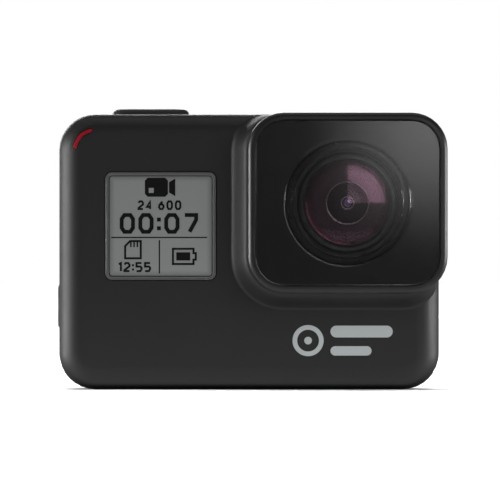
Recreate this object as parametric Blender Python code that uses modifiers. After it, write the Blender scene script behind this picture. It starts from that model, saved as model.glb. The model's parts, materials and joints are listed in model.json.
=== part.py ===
"""Action camera: a hand-sized waterproof camera with a square twist-off lens cover.

Own frame: +X to the right seen from the front, the lens looks along -Y, +Z is up.
The origin is under the middle of the whole camera, on the plane that it stands on.
Lengths are metres.
"""

import math

import bmesh
import bpy
from mathutils import Matrix, Vector

MM = 0.001

# Housing.
BODY_WIDTH = 61.05 * MM
BODY_HEIGHT = 44.2 * MM
CORNER_RADIUS = 5.7 * MM
FRONT_EDGE = 3.8 * MM
BACK_EDGE = 2.4 * MM
WALL = 1.8 * MM
ROOM_EDGE = 1.0 * MM
REAR_SHELL_DEPTH = 3.7 * MM

# Gaps: between fixed pieces, and beside pieces that move.
SEAM = 0.15 * MM
CLEARANCE = 0.3 * MM

# Lens cover and the raised pad that it sits on.
COVER_WIDTH = 32.0 * MM
COVER_HEIGHT = 28.9 * MM
COVER_DEPTH = 4.2 * MM
COVER_OVERHANG = 1.25 * MM
COVER_RISE = 0.2 * MM
COVER_CORNER = 5.8 * MM
COVER_EDGE = 1.0 * MM
COVER_BAND = 1.25 * MM
COVER_GLASS_THICKNESS = 1.1 * MM
COVER_WINDOW_RADIUS = 10.2 * MM
COLLAR_RADIUS = 12.4 * MM
COLLAR_WALL = 0.6 * MM
COLLAR_DEPTH = 2.6 * MM
COLLAR_FLOOR = 0.6 * MM
COVER_BACK_EDGE = 0.4 * MM
COVER_GLASS_SUNK = 0.05 * MM
COVER_SEAL_THICKNESS = 1.0 * MM
COVER_SEAL_DEPTH = 1.0 * MM
PAD_HEIGHT = 3.9 * MM
PAD_FLARE = 2.8 * MM
PAD_ROOT = 0.5 * MM

# Lens.
HOLDER_NECK_RADIUS = 10.9 * MM
HOLDER_TUBE_RADIUS = 9.4 * MM
HOLDER_FLANGE = 23.0 * MM
HOLDER_FLANGE_THICKNESS = 1.5 * MM
HOLDER_CORNER = 2.0 * MM
HOLDER_NECK_START = 0.6 * MM
BEZEL_WALL = 1.2 * MM
BEZEL_EDGE = 0.3 * MM
BEZEL_AHEAD = 0.6 * MM
BEZEL_GAP = 0.05 * MM
BARREL_RADIUS = 8.0 * MM
BARREL_LENGTH = 14.0 * MM
BARREL_SLOPE = 0.5 * MM
BARREL_EDGE = 0.2 * MM
BARREL_REAR_RIM = 1.0 * MM
DOME_RADIUS = 6.75 * MM
DOME_HEIGHT = 1.45 * MM
DOME_SEAT = 2.4 * MM
IRIS_RADIUS = 3.4 * MM
IRIS_LIP = 0.5 * MM
IRIS_THICKNESS = 0.6 * MM
REAR_ELEMENT_RADIUS = 5.2 * MM
REAR_ELEMENT_THICKNESS = 2.2 * MM
REAR_ELEMENT_RISE = 0.6 * MM
GLASS_TO_DOME = 0.35 * MM

# Front status screen and its light.
LCD_WIDTH = 17.75 * MM
LCD_HEIGHT = 17.3 * MM
LCD_FROM_LEFT = 7.45 * MM
LCD_FROM_TOP = 9.3 * MM
LCD_BAND = 0.55 * MM
LCD_CORNER = 1.1 * MM
LCD_PROUD = 0.05 * MM
LCD_DEPTH = 0.75 * MM
LCD_WINDOW_GAP = 0.1 * MM
LCD_OPENING_INSET = 0.7 * MM
LCD_OPENING_CORNER = 0.6 * MM
LCD_PANEL_THICKNESS = 1.25 * MM
LCD_PANEL_INSET = 0.2 * MM
LCD_PANEL_CORNER = 0.4 * MM
LIGHT_RADIUS = 3.14 * MM
LIGHT_STROKE = 0.62 * MM
LIGHT_START = math.radians(101)
LIGHT_END = math.radians(171)
LIGHT_GAP = 0.1 * MM
LIGHT_BEHIND = 0.4 * MM
LED_SIDE = 1.0 * MM
LED_LENGTH = 1.4 * MM
LED_HEIGHT = 0.6 * MM
LED_CORNER = 0.15 * MM

# Rear touch screen.
SCREEN_WIDTH = 49.0 * MM
SCREEN_HEIGHT = 32.5 * MM
SCREEN_CORNER = 2.6 * MM
SCREEN_GLASS = 1.2 * MM
SCREEN_PROUD = 0.4 * MM
SCREEN_EDGE = 0.3 * MM
SCREEN_LEDGE = 2.0 * MM
SCREEN_PANEL = 1.3 * MM
SCREEN_PANEL_INSET = 1.6 * MM
SCREEN_PANEL_CORNER = 0.8 * MM
SCREEN_AIR = 0.55 * MM

# Rubber ring between the two shells.
GASKET_THICKNESS = 0.6 * MM
GASKET_WIDTH = 1.6 * MM

# Buttons.
SHUTTER_LENGTH = 12.4 * MM
SHUTTER_WIDTH = 9.0 * MM
SHUTTER_PROUD = 0.9 * MM
SHUTTER_FROM_LEFT = 14.65 * MM
SHUTTER_TRAVEL = 0.5 * MM
MODE_LENGTH = 10.0 * MM
MODE_HEIGHT = 7.0 * MM
MODE_PROUD = 0.25 * MM
MODE_FROM_BOTTOM = 13.4 * MM
MODE_TRAVEL = 0.4 * MM
BUTTON_CORNER = 2.6 * MM
SHUTTER_EDGE = 0.9 * MM
MODE_EDGE = 0.3 * MM
BUTTON_FLANGE = 0.8 * MM
BUTTON_LIP = 0.7 * MM
BUTTON_SEAL = 0.7 * MM
SWITCH_SIDE = 4.0 * MM
SWITCH_HEIGHT = 1.1 * MM
SWITCH_PLUNGER = 0.9 * MM
SWITCH_STEP = 0.3 * MM
SWITCH_CORNER = 0.3 * MM

# Battery, its bay and the memory card.
BATTERY_WIDTH = 30.0 * MM
BATTERY_THICKNESS = 10.3 * MM
BATTERY_HEIGHT = 33.4 * MM
BATTERY_CORNER = 0.6 * MM
BATTERY_EDGE = 0.3 * MM
TAB_LENGTH = 8.0 * MM
TAB_FROM_END = 1.0 * MM
TAB_FROM_SIDE = 3.0 * MM
TAB_THICKNESS = 0.4 * MM
TAB_CORNER = 1.2 * MM
CONTACTS_LENGTH = 9.0 * MM
CONTACTS_FROM_END = 3.0 * MM
CONTACTS_FROM_SIDE = 2.0 * MM
CONTACTS_CORNER = 0.3 * MM
BAY_WALL = 0.45 * MM
BAY_CORNER = 1.0 * MM
BAY_BELOW_BATTERY = 0.6 * MM
BAY_ABOVE_BATTERY = 1.2 * MM
BAY_BESIDE_SWITCH = 0.1 * MM
BAY_FLOOR = 2.6 * MM
CARD_WIDTH = 11.0 * MM
CARD_HEIGHT = 14.4 * MM
CARD_THICKNESS = 1.0 * MM
CARD_FROM_LEFT = 12.0 * MM
CARD_CORNER = 0.25 * MM
CARD_GRIP = 1.6 * MM
SOCKET_WALL = 0.5 * MM

# Doors. Each turns on a pin just inside the rounded edge of the housing.
DOOR_THICKNESS = 1.7 * MM
DOOR_SETBACK = 3.6 * MM
DOOR_BEHIND_BAY = 1.1 * MM
DOOR_CORNER = 1.6 * MM
PIN_INSET = 1.27 * MM
PIN_FROM_EDGE = 4.0 * MM
PIN_RADIUS = 0.4 * MM
PIN_GRIP = 0.9 * MM
KNUCKLE_RADIUS = 1.0 * MM
KNUCKLE_ROOM = 1.42 * MM
BATTERY_DOOR_LENGTH = 33.9 * MM
SIDE_DOOR_HEIGHT = 7.5 * MM
SEAL_BAND = 0.8 * MM
SEAL_THICKNESS = 0.4 * MM
SEAL_GAP = 0.05 * MM
SEAL_FROM_EDGE = 0.4 * MM
SIDE_SEAL_FROM_EDGE = 0.6 * MM
SIDE_SEAL_FROM_END = 0.3 * MM
LATCH_TRAVEL = 0.9 * MM
LATCH_LIP = 0.5 * MM
LATCH_FLANGE = 0.4 * MM
LATCH_CORNER = 0.5 * MM
LATCH_SUNK = 0.1 * MM
LATCH_OVERLAP = 0.04 * MM
BATTERY_LATCH_LENGTH = 3.7 * MM
BATTERY_LATCH_WIDTH = 5.2 * MM
BATTERY_LATCH_FROM_END = 1.9 * MM
SIDE_LATCH_LENGTH = 1.2 * MM
SIDE_LATCH_WIDTH = 4.4 * MM
SIDE_LATCH_FROM_END = 1.8 * MM

# Ports behind the side door.
USB_WIDTH = 8.9 * MM
USB_HEIGHT = 3.2 * MM
HDMI_WIDTH = 5.8 * MM
HDMI_HEIGHT = 2.8 * MM
PORT_DEPTH = 7.0 * MM
PORT_WALL = 0.3 * MM
PORT_BACK_WALL = 1.5 * MM
PORT_CORNER_SHARE = 0.35
TONGUE_THICKNESS = 0.7 * MM
TONGUE_ROOT = 0.5 * MM
TONGUE_FROM_MOUTH = 0.8 * MM
TONGUE_SIDE_SHARE = 0.16
PORT_BOARD_THICKNESS = 0.8 * MM
PORT_BOARD_LENGTH = 9.5 * MM
PORT_BOARD_CORNER = 0.5 * MM
PORT_BOARD_OVER_PIN = 1.0 * MM
PORTS_AHEAD = 0.2 * MM

# Boards and cooling.
FRAME_THICKNESS = 0.7 * MM
BOARD_THICKNESS = 0.8 * MM
BOARD_MARGIN = 1.4 * MM
BOARD_FLOOR = 10.0 * MM
BOARD_CORNER = 3.0 * MM
FRAME_WINDOW_ABOVE_LENS = 5.0 * MM
FRAME_WINDOW_CORNER = 1.5 * MM
CHIP_SIDE = 13.0 * MM
CHIP_THICKNESS = 0.7 * MM
CHIP_CORNER = 0.4 * MM
SPREADER_THICKNESS = 0.4 * MM
SPREADER_REACH = 2.0 * MM
SPREADER_CORNER = 1.0 * MM
SCREW_FROM_EDGE = 2.2 * MM
SCREW_SUNK = 0.1 * MM
SCREW_HEAD_GAP = 0.05 * MM
SCREW_RADIUS = 0.6 * MM
SCREW_HEAD_RADIUS = 1.2 * MM
SCREW_HEAD = 0.5 * MM
SENSOR_WIDTH = 9.5 * MM
SENSOR_HEIGHT = 7.5 * MM
SENSOR_THICKNESS = 0.9 * MM
SENSOR_CORNER = 0.3 * MM
SENSOR_BOARD_SIDE = 17.0 * MM
SENSOR_BOARD_CORNER = 1.0 * MM
FLEX_WIDTH = 8.0 * MM
FLEX_THICKNESS = 0.3 * MM
FLEX_FROM_EDGE = 1.0 * MM
ANTENNA_LENGTH = 18.0 * MM
ANTENNA_WIDTH = 2.6 * MM
ANTENNA_THICKNESS = 0.4 * MM
ANTENNA_CORNER = 0.4 * MM
ANTENNA_FROM_BAY = 1.0 * MM
ANTENNA_FROM_FRAME = 0.8 * MM

# Sound.
SPEAKER_LENGTH = 9.0 * MM
SPEAKER_WIDTH = 7.5 * MM
SPEAKER_HEIGHT = 3.0 * MM
SPEAKER_CORNER = 1.0 * MM
SPEAKER_FROM_DOOR = 1.2 * MM
SPEAKER_SLOTS = 4
SPEAKER_SLOT_WIDTH = 0.8 * MM
MICROPHONE_SIDE = 3.0 * MM
MICROPHONE_HEIGHT = 1.1 * MM
MICROPHONE_HOLE = 0.5 * MM
MICROPHONE_CORNER = 0.3 * MM
MICROPHONE_FROM_PAD = 2.6 * MM
MICROPHONE_FROM_TOP = 13.0 * MM

# How finely round shapes are cut.
CORNER_STEPS = 8
SMALL_CORNER_STEPS = 4
EDGE_STEPS = 8
PAD_STEPS = 12
LIGHT_STEPS = 8
DOME_STEPS = 6
FINE_STEPS = 3
TURN_STEPS = 48
SMALL_TURN_STEPS = 24
FEW_TURN_STEPS = 16
HOLE_STEPS = 12
OVERCUT = 1.0 * MM
WELD = 1e-6
FLAT = 1e-7
SLOT_END = 0.49

# The depth is what the screens, card, battery and boards need one behind the other.
CARD_ROOM = LCD_PANEL_THICKNESS + CARD_THICKNESS + 2 * SOCKET_WALL + 5 * SEAM
BAY_DEPTH = BATTERY_THICKNESS + 2 * (BAY_WALL + SEAM)
SPREADER_GAP = 0.05 * MM
BOARD_STACK = FRAME_THICKNESS + BOARD_THICKNESS + CHIP_THICKNESS + 3 * SEAM
BODY_DEPTH = (
    2 * WALL + CARD_ROOM + BAY_DEPTH + BOARD_STACK
    + SPREADER_GAP + SPREADER_THICKNESS + SCREEN_AIR + SCREEN_PANEL + SEAM
)

# Places worked out from the sizes.
OVERALL_WIDTH = MODE_PROUD + BODY_WIDTH + COVER_OVERHANG
LEFT = MODE_PROUD - OVERALL_WIDTH / 2
RIGHT = LEFT + BODY_WIDTH
TOP = BODY_HEIGHT
OVERALL_DEPTH = SCREEN_PROUD + BODY_DEPTH + PAD_HEIGHT + CLEARANCE + COVER_DEPTH
BACK = OVERALL_DEPTH / 2 - SCREEN_PROUD
FRONT = BACK - BODY_DEPTH
PARTING = BACK - REAR_SHELL_DEPTH
PAD_FACE = FRONT - PAD_HEIGHT
COVER_BACK = PAD_FACE - CLEARANCE
COVER_FACE = COVER_BACK - COVER_DEPTH
COVER_RIGHT = RIGHT + COVER_OVERHANG
COVER_LEFT = COVER_RIGHT - COVER_WIDTH
COVER_TOP = TOP + COVER_RISE
COVER_BOTTOM = COVER_TOP - COVER_HEIGHT
LENS_X = (COVER_LEFT + COVER_RIGHT) / 2
LENS_Z = (COVER_BOTTOM + COVER_TOP) / 2
GLASS_BACK = COVER_FACE + COVER_GLASS_THICKNESS
DOME_TIP = GLASS_BACK + GLASS_TO_DOME
BARREL_FACE = DOME_TIP + DOME_HEIGHT

SWITCH_ROOM = SEAM + BUTTON_FLANGE + MODE_TRAVEL + SEAM + SWITCH_STEP + SWITCH_HEIGHT
BAY_LEFT = LEFT + WALL + SWITCH_ROOM + BAY_BESIDE_SWITCH
BAY_RIGHT = BAY_LEFT + BATTERY_WIDTH + 2 * (BAY_WALL + SEAM)
BAY_FRONT = FRONT + WALL + CARD_ROOM
BAY_BACK = BAY_FRONT + BAY_DEPTH
BATTERY_FLOOR = BAY_FLOOR + BAY_BELOW_BATTERY
BAY_TOP = BATTERY_FLOOR + BATTERY_HEIGHT + BAY_ABOVE_BATTERY + BAY_WALL
FRAME_FRONT = BAY_BACK + SEAM
BOARD_FRONT = FRAME_FRONT + FRAME_THICKNESS + SEAM
BOARD_BACK = BOARD_FRONT + BOARD_THICKNESS
CHIP_BACK = BOARD_BACK + SEAM + CHIP_THICKNESS

DOOR_FRONT = FRONT + DOOR_SETBACK
DOOR_BACK = BAY_BACK + DOOR_BEHIND_BAY
BATTERY_PIN_X = LEFT + PIN_FROM_EDGE
BATTERY_PIN_Z = PIN_INSET
SIDE_PIN_X = RIGHT - PIN_INSET
SIDE_PIN_Z = PIN_FROM_EDGE
MIDDLE_Y = (DOOR_FRONT + DOOR_BACK) / 2

PARTS_NAME = "action_camera"


def clear_scene():
    for old in list(bpy.data.objects):
        bpy.data.objects.remove(old)


def make_collections():
    parts = bpy.data.collections.new(PARTS_NAME)
    cutters = bpy.data.collections.new("cutters")
    bpy.context.scene.collection.children.link(parts)
    bpy.context.scene.collection.children.link(cutters)
    cutters.hide_render = True
    return parts, cutters


def make_material(name, colour, roughness, metallic=0.0):
    made = bpy.data.materials.new(name)
    made.use_nodes = True
    shader = made.node_tree.nodes["Principled BSDF"]
    shader.inputs["Base Color"].default_value = (*colour, 1.0)
    shader.inputs["Roughness"].default_value = roughness
    shader.inputs["Metallic"].default_value = metallic
    return made


def make_materials():
    looks = {
        "housing": ((0.025, 0.025, 0.028), 0.7),
        "gloss_black": ((0.008, 0.008, 0.009), 0.15),
        "dark_glass": ((0.01, 0.01, 0.012), 0.05),
        "coated_glass": ((0.05, 0.01, 0.04), 0.05),
        "display": ((0.16, 0.17, 0.17), 0.3),
        "rubber": ((0.02, 0.02, 0.02), 0.8),
        "red_light": ((0.3, 0.01, 0.02), 0.4),
        "board": ((0.01, 0.06, 0.03), 0.5),
        "chip": ((0.015, 0.015, 0.018), 0.4),
        "label": ((0.1, 0.12, 0.14), 0.5),
    }
    metals = {
        "bright_metal": ((0.6, 0.6, 0.6), 0.3),
        "gold_metal": ((0.7, 0.5, 0.2), 0.3),
        "frame_metal": ((0.35, 0.36, 0.37), 0.45),
    }
    made = {name: make_material(name, *look) for name, look in looks.items()}
    for name, look in metals.items():
        made[name] = make_material(name, *look, metallic=1.0)
    return made


def rounded_block(
    low, high, corner=0.0, along=1, low_edge=0.0, high_edge=0.0,
    steps=FINE_STEPS, corner_steps=SMALL_CORNER_STEPS,
):
    """A block whose four edges along one axis are rounded, then the rims of its two ends."""
    low, high = Vector(low), Vector(high)
    made = bmesh.new()
    place = Matrix.Translation((low + high) / 2) @ Matrix.Diagonal((*(high - low), 1.0))
    bmesh.ops.create_cube(made, size=1.0, matrix=place)

    def bevel(edges, radius, segments):
        bmesh.ops.bevel(
            made, geom=edges, offset=radius, offset_type="OFFSET", segments=segments,
            profile=0.5, affect="EDGES", clamp_overlap=False,
        )

    def runs_along(edge):
        return abs((edge.verts[1].co - edge.verts[0].co)[along]) > 0.5 * (high - low)[along]

    if corner > 0:
        bevel([e for e in made.edges if runs_along(e)], corner, corner_steps)
    for level, radius in ((low[along], low_edge), (high[along], high_edge)):
        if radius > 0:
            rim = [e for e in made.edges if all(abs(v.co[along] - level) < FLAT for v in e.verts)]
            bevel(rim, radius, steps)
    return made


def rod(centre, radius, low, high, along=1, steps=SMALL_TURN_STEPS):
    """A cylinder along one axis, between two places on it."""
    made = bmesh.new()
    turn = {0: Matrix.Rotation(math.pi / 2, 4, "Y"), 1: Matrix.Rotation(math.pi / 2, 4, "X"), 2: Matrix()}
    middle = Vector(centre)
    middle[along] = (low + high) / 2
    bmesh.ops.create_cone(
        made, cap_ends=True, segments=steps, radius1=radius, radius2=radius,
        depth=high - low, matrix=Matrix.Translation(middle) @ turn[along],
    )
    return made


class Maker:
    """Adds named pieces and cutters to the scene."""

    def __init__(self):
        self.parts, self.cutters = make_collections()
        self.looks = make_materials()

    def piece(self, name, shape, look, origin=(0.0, 0.0, 0.0)):
        """A piece from a bmesh, with its object's origin at the given point."""
        mesh = bpy.data.meshes.new(name)
        bmesh.ops.translate(shape, verts=shape.verts, vec=-Vector(origin))
        bmesh.ops.recalc_face_normals(shape, faces=shape.faces)
        shape.to_mesh(mesh)
        shape.free()
        mesh.shade_smooth()
        mesh.set_sharp_from_angle(angle=math.radians(35))
        made = bpy.data.objects.new(name, mesh)
        made.location = origin
        made.data.materials.append(self.looks[look])
        self.parts.objects.link(made)
        return made

    def cutter(self, name, shape):
        mesh = bpy.data.meshes.new(name)
        bmesh.ops.recalc_face_normals(shape, faces=shape.faces)
        shape.to_mesh(mesh)
        shape.free()
        made = bpy.data.objects.new(name, mesh)
        self.hide(made)
        return made

    def hide(self, made):
        made.hide_render = True
        made.display_type = "WIRE"
        self.cutters.objects.link(made)

    def turned(self, name, profile, look, centre=(LENS_X, 0.0, LENS_Z), steps=TURN_STEPS, closed=False):
        """A turned piece. The profile holds (radius, Y) from the front down the outer side."""
        mesh = self.turned_mesh(name, profile, closed)
        made = bpy.data.objects.new(name, mesh)
        self.turn(made, centre, steps)
        made.data.materials.append(self.looks[look])
        self.parts.objects.link(made)
        return made

    def turned_cutter(self, name, profile, centre=(LENS_X, 0.0, LENS_Z), steps=TURN_STEPS):
        made = bpy.data.objects.new(name, self.turned_mesh(name, profile, False))
        self.turn(made, centre, steps)
        self.hide(made)
        return made

    @staticmethod
    def turned_mesh(name, profile, closed):
        points = [(radius, 0.0, -y) for radius, y in profile]
        edges = [(i, i + 1) for i in range(len(points) - 1)]
        if closed:
            edges.append((len(points) - 1, 0))
        mesh = bpy.data.meshes.new(name)
        mesh.from_pydata(points, edges, [])
        return mesh

    @staticmethod
    def turn(made, centre, steps):
        made.location = centre
        made.rotation_euler = (math.pi / 2, 0.0, 0.0)
        screw = made.modifiers.new("turn", "SCREW")
        screw.axis = "Z"
        screw.steps = steps
        screw.render_steps = steps
        screw.use_merge_vertices = True
        screw.merge_threshold = WELD
        screw.use_smooth_shade = True

    @staticmethod
    def boolean(target, other, operation="DIFFERENCE"):
        step = target.modifiers.new(other.name, "BOOLEAN")
        step.operation = operation
        step.object = other
        step.solver = "EXACT"

    def cut(self, target, name, shape):
        made = self.cutter(name, shape)
        self.boolean(target, made)
        return made


def body_form(maker):
    """The whole outer form of the housing, which the doors and the light guide are trimmed to."""
    shape = rounded_block(
        (LEFT, FRONT, 0.0), (RIGHT, BACK, TOP),
        CORNER_RADIUS, low_edge=FRONT_EDGE, high_edge=BACK_EDGE, steps=EDGE_STEPS, corner_steps=CORNER_STEPS,
    )
    return maker.cutter("body_form", shape)


def corner_ring(shape, y, left, right, bottom, top, radii):
    """One rounded outline at a depth. The radii run lower left, lower right, upper right, upper left."""
    centres = (
        (left + radii[0], bottom + radii[0], 180),
        (right - radii[1], bottom + radii[1], 270),
        (right - radii[2], top - radii[2], 0),
        (left + radii[3], top - radii[3], 90),
    )
    ring = []
    for (x, z, start), radius in zip(centres, radii):
        for step in range(CORNER_STEPS + 1):
            angle = math.radians(start + 90 * step / CORNER_STEPS)
            place = (x + radius * math.cos(angle), y, z + radius * math.sin(angle))
            ring.append(shape.verts.new(place))
    return ring


def lens_pad():
    """The raised pad under the lens cover. Its left and lower sides sweep down to the front face."""
    shape = bmesh.new()
    rings = []
    levels = [(0.0, FRONT + FRONT_EDGE + PAD_ROOT)]
    for step in range(PAD_STEPS + 1):
        share = step / PAD_STEPS
        levels.append((share, FRONT - PAD_HEIGHT * share ** 2 * (3 - 2 * share)))
    for share, y in levels:
        flare = PAD_FLARE * (1 - share)
        radii = (CORNER_RADIUS + flare, CORNER_RADIUS, CORNER_RADIUS, CORNER_RADIUS)
        rings.append(
            corner_ring(shape, y, COVER_LEFT - flare, RIGHT, COVER_BOTTOM - flare, TOP, radii)
        )
    for lower, upper in zip(rings, rings[1:]):
        for i, vertex in enumerate(lower):
            j = (i + 1) % len(lower)
            shape.faces.new((vertex, lower[j], upper[j], upper[i]))
    shape.faces.new(rings[0])
    shape.faces.new(rings[-1])
    return shape


def inner_room(low_y, high_y, front_edge=0.0, back_edge=0.0):
    return rounded_block(
        (LEFT + WALL, low_y, WALL), (RIGHT - WALL, high_y, TOP - WALL),
        CORNER_RADIUS - WALL, low_edge=front_edge, high_edge=back_edge,
    )


def lcd_box(inset, low_y, high_y, corner):
    left = LEFT + LCD_FROM_LEFT
    top = TOP - LCD_FROM_TOP
    return rounded_block(
        (left + inset, low_y, top - LCD_HEIGHT + inset),
        (left + LCD_WIDTH - inset, high_y, top - inset),
        corner,
    )


def light_stroke(radius, width, low_y, high_y):
    """A bent bar with round ends, concentric with the housing's upper left corner."""
    centre = Vector((LEFT + CORNER_RADIUS, TOP - CORNER_RADIUS))
    outline = []

    def arc(middle, size, start, end):
        for step in range(LIGHT_STEPS + 1):
            angle = start + (end - start) * step / LIGHT_STEPS
            outline.append(middle + size * Vector((math.cos(angle), math.sin(angle))))

    def spine(angle):
        return centre + radius * Vector((math.cos(angle), math.sin(angle)))

    arc(centre, radius + width / 2, LIGHT_START, LIGHT_END)
    arc(spine(LIGHT_END), width / 2, LIGHT_END, LIGHT_END + math.pi)
    arc(centre, radius - width / 2, LIGHT_END, LIGHT_START)
    arc(spine(LIGHT_START), width / 2, LIGHT_START + math.pi, LIGHT_START + 2 * math.pi)
    shape = bmesh.new()
    verts = [shape.verts.new((p.x, low_y, p.y)) for p in outline]
    bmesh.ops.remove_doubles(shape, verts=verts, dist=WELD)
    face = shape.faces.new(list(shape.verts))
    extruded = bmesh.ops.extrude_face_region(shape, geom=[face])
    moved = [g for g in extruded["geom"] if isinstance(g, bmesh.types.BMVert)]
    bmesh.ops.translate(shape, verts=moved, vec=(0.0, high_y - low_y, 0.0))
    return shape


def battery_door_box(grow, thickness):
    """The battery door's outline, from beyond its knuckle to its free end."""
    return rounded_block(
        (BATTERY_PIN_X - grow, DOOR_FRONT - grow, -OVERCUT),
        (BATTERY_PIN_X + BATTERY_DOOR_LENGTH + grow, DOOR_BACK + grow, thickness),
    )


def side_door_box(grow, thickness):
    return rounded_block(
        (RIGHT - thickness, DOOR_FRONT - grow, SIDE_PIN_Z - grow),
        (RIGHT + OVERCUT, DOOR_BACK + grow, SIDE_PIN_Z + SIDE_DOOR_HEIGHT + grow),
    )


def cut_door_openings(maker, shell):
    """Openings with room for each knuckle to turn, and holes that hold the pins."""
    maker.cut(shell, "battery_door_opening", battery_door_box(CLEARANCE, WALL + OVERCUT))
    maker.cut(shell, "side_door_opening", side_door_box(CLEARANCE, WALL + OVERCUT))
    for name, x, z in (
        ("battery", BATTERY_PIN_X, BATTERY_PIN_Z),
        ("side", SIDE_PIN_X, SIDE_PIN_Z),
    ):
        room = rod((x, 0.0, z), KNUCKLE_ROOM, DOOR_FRONT - CLEARANCE, DOOR_BACK + CLEARANCE)
        maker.cut(shell, name + "_knuckle_room", room)
        hole = rod(
            (x, 0.0, z), PIN_RADIUS + SEAM / 2,
            DOOR_FRONT - CLEARANCE - PIN_GRIP - SEAM, DOOR_BACK + CLEARANCE + PIN_GRIP + SEAM,
        )
        maker.cut(shell, name + "_pin_hole", hole)


def cut_front_face(maker, shell):
    recess = lcd_box(-SEAM, FRONT - OVERCUT, FRONT + LCD_DEPTH + SEAM, LCD_CORNER + SEAM)
    maker.cut(shell, "lcd_recess", recess)
    opening = lcd_box(LCD_OPENING_INSET, FRONT, FRONT + WALL + OVERCUT, LCD_OPENING_CORNER)
    maker.cut(shell, "lcd_opening", opening)
    slot = light_stroke(
        LIGHT_RADIUS, LIGHT_STROKE + 2 * LIGHT_GAP, FRONT - OVERCUT, FRONT + WALL + OVERCUT
    )
    maker.cut(shell, "light_slot", slot)
    bore = maker.turned_cutter(
        "cover_bore",
        (
            (0.0, PAD_FACE - OVERCUT),
            (COLLAR_RADIUS + CLEARANCE, PAD_FACE - OVERCUT),
            (COLLAR_RADIUS + CLEARANCE, COVER_BACK + COLLAR_DEPTH + CLEARANCE),
            (HOLDER_NECK_RADIUS + SEAM, COVER_BACK + COLLAR_DEPTH + CLEARANCE),
            (HOLDER_NECK_RADIUS + SEAM, FRONT + WALL + OVERCUT),
            (0.0, FRONT + WALL + OVERCUT),
        ),
    )
    maker.boolean(shell, bore)


def button_block(centre, length, width, low, high, along, grow=0.0, edge=0.0):
    """A button-shaped block across one axis: X for the side button, Z for the top one."""
    half_length, half_width = length / 2 + grow, width / 2 + grow
    corner = BUTTON_CORNER + grow
    if along == 2:
        lows = (centre[0] - half_length, centre[1] - half_width, low)
        highs = (centre[0] + half_length, centre[1] + half_width, high)
        return rounded_block(lows, highs, corner, along=2, high_edge=edge)
    lows = (low, centre[1] - half_length, centre[2] - half_width)
    highs = (high, centre[1] + half_length, centre[2] + half_width)
    return rounded_block(lows, highs, corner, along=0, low_edge=edge)


def shutter_centre():
    return (LEFT + SHUTTER_FROM_LEFT, MIDDLE_Y, TOP)


def mode_centre():
    return (LEFT, MIDDLE_Y, MODE_FROM_BOTTOM)


def cut_button_holes(maker, shell):
    hole = button_block(
        shutter_centre(), SHUTTER_LENGTH, SHUTTER_WIDTH, TOP - WALL - OVERCUT, TOP + OVERCUT, 2, CLEARANCE
    )
    maker.cut(shell, "shutter_hole", hole)
    hole = button_block(
        mode_centre(), MODE_LENGTH, MODE_HEIGHT, LEFT - OVERCUT, LEFT + WALL + OVERCUT, 0, CLEARANCE
    )
    maker.cut(shell, "mode_hole", hole)


def speaker_place():
    """Lower corner of the speaker, on the floor to the right of the battery door."""
    x = BATTERY_PIN_X + BATTERY_DOOR_LENGTH + SPEAKER_FROM_DOOR
    return Vector((x, MIDDLE_Y - SPEAKER_WIDTH / 2, WALL + SEAM))


def microphone_top_centre():
    return Vector((COVER_LEFT - PAD_FLARE - MICROPHONE_FROM_PAD, MIDDLE_Y, TOP - WALL))


def microphone_side_centre():
    return Vector((LEFT + WALL, MIDDLE_Y, BODY_HEIGHT - MICROPHONE_FROM_TOP))


def cut_sound_holes(maker, shell):
    corner = speaker_place()
    pitch = SPEAKER_LENGTH / (SPEAKER_SLOTS + 1)
    for i in range(SPEAKER_SLOTS):
        x = corner.x + pitch * (i + 1)
        slot = rounded_block(
            (x - SPEAKER_SLOT_WIDTH / 2, corner.y + OVERCUT, -OVERCUT),
            (x + SPEAKER_SLOT_WIDTH / 2, corner.y + SPEAKER_WIDTH - OVERCUT, WALL + OVERCUT),
            SPEAKER_SLOT_WIDTH * SLOT_END, along=2,
        )
        maker.cut(shell, f"speaker_slot_{i + 1}", slot)
    top = microphone_top_centre()
    hole = rod(top, MICROPHONE_HOLE, TOP - WALL - OVERCUT, TOP + OVERCUT, along=2, steps=HOLE_STEPS)
    maker.cut(shell, "microphone_hole_top", hole)
    side = microphone_side_centre()
    hole = rod(side, MICROPHONE_HOLE, LEFT - OVERCUT, LEFT + WALL + OVERCUT, along=0, steps=HOLE_STEPS)
    maker.cut(shell, "microphone_hole_side", hole)


def make_front_shell(maker):
    shape = rounded_block(
        (LEFT, FRONT, 0.0), (RIGHT, PARTING, TOP),
        CORNER_RADIUS, low_edge=FRONT_EDGE, steps=EDGE_STEPS, corner_steps=CORNER_STEPS,
    )
    shell = maker.piece("front_shell", shape, "housing")
    maker.boolean(shell, maker.cutter("lens_pad", lens_pad()), "UNION")
    room = inner_room(FRONT + WALL, PARTING + OVERCUT, front_edge=ROOM_EDGE)
    maker.cut(shell, "front_room", room)
    cut_front_face(maker, shell)
    cut_door_openings(maker, shell)
    cut_button_holes(maker, shell)
    cut_sound_holes(maker, shell)


def screen_box(inset, low_y, high_y, corner, edge=0.0):
    middle_x, middle_z = (LEFT + RIGHT) / 2, BODY_HEIGHT / 2
    return rounded_block(
        (middle_x - SCREEN_WIDTH / 2 + inset, low_y, middle_z - SCREEN_HEIGHT / 2 + inset),
        (middle_x + SCREEN_WIDTH / 2 - inset, high_y, middle_z + SCREEN_HEIGHT / 2 - inset),
        corner, high_edge=edge,
    )


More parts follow.
